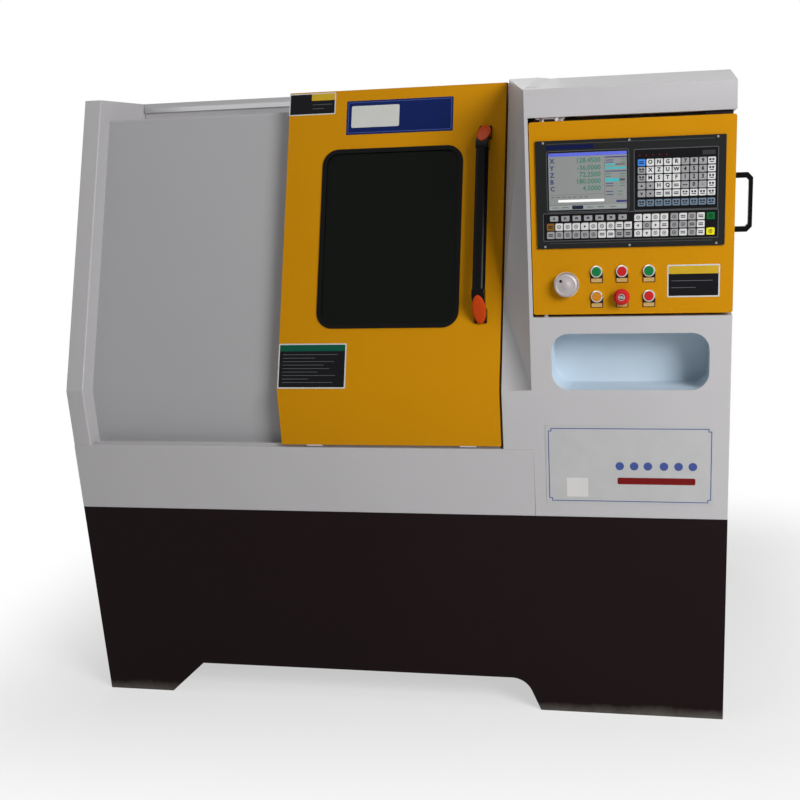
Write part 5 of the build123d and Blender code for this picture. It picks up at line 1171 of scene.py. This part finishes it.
class LATHE_OT_fit_hardware(bpy.types.Operator):
    """Brackets over the operator box, screws of the rear sheet and fronts of the drives"""
    bl_idname = "lathe.fit_hardware"
    bl_label = "Fit the hardware"

    def execute(self, context):
        dark = surface("bracket_black", "moulded", (0.02, 0.015, 0.02), gloss=0.4)
        bare = surface("bracket_steel", "brushed", (0.60, 0.58, 0.58), metallic=1.0, gloss=0.25)
        level = BOX[1].z
        bm = bmesh.new()
        for left, right in ((20, 72), (425, 492)):
            add_field(bm, (left, 12, right, 60), 3, 1.2, 8.8, 0, 0.8)
        make(bm, "gap_brackets", [dark], Matrix.Translation((CABINET_LEFT, FRONT_Y, level)),
             "machine", "switch_black")
        bolt = bmesh.new()
        add_slab(bolt, disc(0, 0, 5.4, 6), 0.0, 9, 0, 0.8)
        add_turned(bolt, ((0.0, -4), (6.2, -4), (6.2, 0.2), (0.0, 0.2)), 32)
        front = upright_place(CABINET_LEFT + 79 * MM, level + 5 * MM, FRONT_Y + 14 * MM)
        make(bolt, "gap_bolt", [bare], front, "machine", "bezel_chrome")
        self.sheet_screws()
        self.drive_fronts()
        return {"FINISHED"}

    def sheet_screws(self):
        """Screws along the rear sheet's edges, seen from behind."""
        low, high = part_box("rear_panel")
        width, height = (high.x - low.x) / MM, (high.z - low.z) / MM
        inset, columns, rows = 12, 6, 5
        places = [(inset + (width - 2 * inset) * step / (columns - 1), y) for step in range(columns)
                  for y in (inset, height - inset)]
        places += [(x, inset + (height - 2 * inset) * step / (rows - 1))
                   for step in range(1, rows - 1) for x in (inset, width - inset)]
        back = Matrix.Rotation(math.pi, 4, "Z") @ Matrix.Rotation(math.radians(90), 4, "X")
        back = Matrix.Translation((high.x, high.y, low.z)) @ back
        screws("rear_screws", places, back, 5, 1.6, "machine", "bezel_chrome")

    def drive_fronts(self):
        """Dark fronts with a small window on the drives, contactors and supplies."""
        front = surface("drive_front", "moulded", (0.020, 0.021, 0.023), gloss=0.45)
        window = surface("drive_window", "moulded", (0.02, 0.085, 0.055), gloss=0.2)
        strip = surface("drive_strip", "moulded", (0.42, 0.42, 0.40), gloss=0.4)
        bm = bmesh.new()
        facing = Matrix(((0, 0, 1, 0), (1, 0, 0, 0), (0, 1, 0, 0), (0, 0, 0, 1)))
        for low, high in separate_boxes("electrical_equipment"):
            deep, wide, tall = (high - low) / MM
            if wide > UNIT_WIDTH or deep < UNIT_DEPTH:
                continue
            known = len(bm.verts)
            edge = 0.06 * wide
            add_field(bm, (edge, edge, wide - edge, tall - edge), 2, -0.3, 1.2, 0, 0.3)
            add_field(bm, (0.25 * wide, 0.68 * tall, 0.75 * wide, 0.80 * tall), 1, 1.0, 1.5, 1)
            add_field(bm, (0.2 * wide, 0.12 * tall, 0.8 * wide, 0.2 * tall), 1, 1.0, 1.5, 2)
            corner = Vector((high.x, low.y, low.z)) / MM
            move_verts(bm, known, Matrix.Translation(corner) @ facing)
        make(bm, "drive_fronts", [front, window, strip], Matrix(), "machine", "switch_black")


class LATHE_OT_set_stage(bpy.types.Operator):
    """Pale floor, soft lamps and the camera"""
    bl_idname = "lathe.set_stage"
    bl_label = "Set the stage"

    def execute(self, context):
        self.floor()
        self.world(context)
        self.lamp("key_lamp", (3.0, -3.0, 2.6), 2.0, 148.0)
        self.lamp("fill_lamp", (-3.2, -3.0, 2.2), 3.0, 4.0)
        self.lamp("top_lamp", (-0.4, -0.6, 4.2), 3.0, 24.0)
        self.lamp("back_lamp", (-1.5, 4.0, 2.6), 3.0, 26.0)
        self.camera(context)
        context.scene.view_settings.view_transform = "Standard"
        return {"FINISHED"}

    def floor(self):
        """Pale floor that turns plain white a little way off the machine."""
        bm = bmesh.new()
        bmesh.ops.create_grid(bm, x_segments=1, y_segments=1, size=30.0)
        material, tree, shader, place = new_material("pale_floor")
        tone = spread(tree, noise(tree, place, 3.0, 4.0), 0.985, 1.0)
        tree.links.new(tinted(tree, (0.86, 0.86, 0.86), tone), shader.inputs["Base Color"])
        shader.inputs["Roughness"].default_value = 0.8
        shader.inputs["Specular IOR Level"].default_value = 0.1
        half = (CAD_BOX[1] - CAD_BOX[0]) / 2
        beside = place
        for operation, other in (("ABSOLUTE", (0.0, 0.0, 0.0)), ("SUBTRACT", (half.x, half.y, 0.0)),
                                 ("MAXIMUM", (0.0, 0.0, 0.0))):
            beside = add(tree, "ShaderNodeVectorMath", {0: beside, 1: other},
                         operation=operation).outputs["Vector"]
        away = add(tree, "ShaderNodeVectorMath", {0: beside}, operation="LENGTH").outputs["Value"]
        fade = add(tree, "ShaderNodeMapRange", {"Value": away, "From Min": 0.0, "From Max": 0.85,
                                                "To Min": 0.55}, interpolation_type="SMOOTHSTEP")
        shown = compute(tree, "MULTIPLY", fade.outputs["Result"], self.seen(tree))
        bright = add(tree, "ShaderNodeEmission", {"Color": (1.0, 1.0, 1.0, 1.0), "Strength": 1.0})
        both = add(tree, "ShaderNodeMixShader", {0: shown, 1: shader.outputs["BSDF"],
                                                 2: bright.outputs["Emission"]})
        tree.links.new(both.outputs["Shader"], tree.nodes["Material Output"].inputs["Surface"])
        floor = finish_mesh(bm, "floor", [material])

    def world(self, context):
        """Soft room light; what the camera, glass and metal see of it is white."""
        world = bpy.data.worlds.new("room")
        context.scene.world = world
        world.use_nodes = True
        tree = world.node_tree
        background = tree.nodes["Background"]
        strength = spread(tree, self.seen(tree), 0.16, 1.0)
        tree.links.new(strength, background.inputs["Strength"])
        background.inputs["Color"].default_value = (1.0, 1.0, 1.0, 1.0)

    def seen(self, tree):
        """One for what the camera sees, straight, mirrored or through glass."""
        rays = add(tree, "ShaderNodeLightPath").outputs
        direct = compute(tree, "MAXIMUM", rays["Is Camera Ray"], rays["Is Glossy Ray"])
        return compute(tree, "MAXIMUM", direct, rays["Is Transmission Ray"])

    def lamp(self, name, place, size, power):
        """Round soft lamp that faces the machine's middle."""
        light = bpy.data.lights.new(name, "AREA")
        light.shape = "DISK"
        light.size = size
        light.energy = power
        obj = bpy.data.objects.new(name, light)
        obj.location = place
        aim = Vector((0.0, 0.0, 0.9)) - Vector(place)
        obj.rotation_euler = aim.to_track_quat("-Z", "Y").to_euler()
        bpy.context.scene.collection.objects.link(obj)

    def camera(self, context):
        """The camera that the settings describe."""
        wanted = context.scene.lathe_camera
        yaw, pitch, roll = wanted.yaw, wanted.pitch, wanted.roll
        ahead = Vector((-math.sin(yaw) * math.cos(pitch), math.cos(yaw) * math.cos(pitch),
                        -math.sin(pitch)))
        level = Vector((math.cos(yaw), math.sin(yaw), 0.0))
        over = level.cross(ahead)
        right = math.cos(roll) * level + math.sin(roll) * over
        up = math.cos(roll) * over - math.sin(roll) * level
        turn = Matrix((right, up, -ahead)).transposed().to_4x4()
        data = bpy.data.cameras.new("photo_camera")
        data.sensor_width = 36.0
        data.lens = wanted.focal
        data.shift_x = wanted.shift_x
        data.shift_y = wanted.shift_y
        camera = bpy.data.objects.new("photo_camera", data)
        camera.matrix_world = Matrix.Translation(wanted.place) @ turn
        context.scene.collection.objects.link(camera)
        context.scene.camera = camera


class LATHE_PT_looks(bpy.types.Panel):
    bl_label = "Lathe"
    bl_space_type = "VIEW_3D"
    bl_region_type = "UI"
    bl_category = "Lathe"

    def draw(self, context):
        for operator in OPERATORS:
            self.layout.operator(operator.bl_idname)


OPERATORS = (
    LATHE_OT_coat_sheets,
    LATHE_OT_finish_machine,
    LATHE_OT_finish_door,
    LATHE_OT_finish_controls,
    LATHE_OT_mount_plates,
    LATHE_OT_set_keys,
    LATHE_OT_dress_buttons,
    LATHE_OT_fit_hardware,
    LATHE_OT_set_stage,
)
SETTINGS = (LathePaints, LatheCamera)


def register():
    for cls in SETTINGS + OPERATORS + (LATHE_PT_looks,):
        bpy.utils.register_class(cls)
    bpy.types.Scene.lathe_paints = bpy.props.PointerProperty(type=LathePaints)
    bpy.types.Scene.lathe_camera = bpy.props.PointerProperty(type=LatheCamera)


def unregister():
    del bpy.types.Scene.lathe_camera
    del bpy.types.Scene.lathe_paints
    for cls in reversed(SETTINGS + OPERATORS + (LATHE_PT_looks,)):
        bpy.utils.unregister_class(cls)


def main():
    register()
    build_groups()
    bpy.ops.lathe.coat_sheets()
    bpy.ops.lathe.finish_machine()
    bpy.ops.lathe.finish_door()
    bpy.ops.lathe.finish_controls()
    bpy.ops.lathe.mount_plates()
    bpy.ops.lathe.set_keys()
    bpy.ops.lathe.dress_buttons()
    bpy.ops.lathe.fit_hardware()
    bpy.ops.lathe.set_stage()


if __name__ == "__main__":
    main()
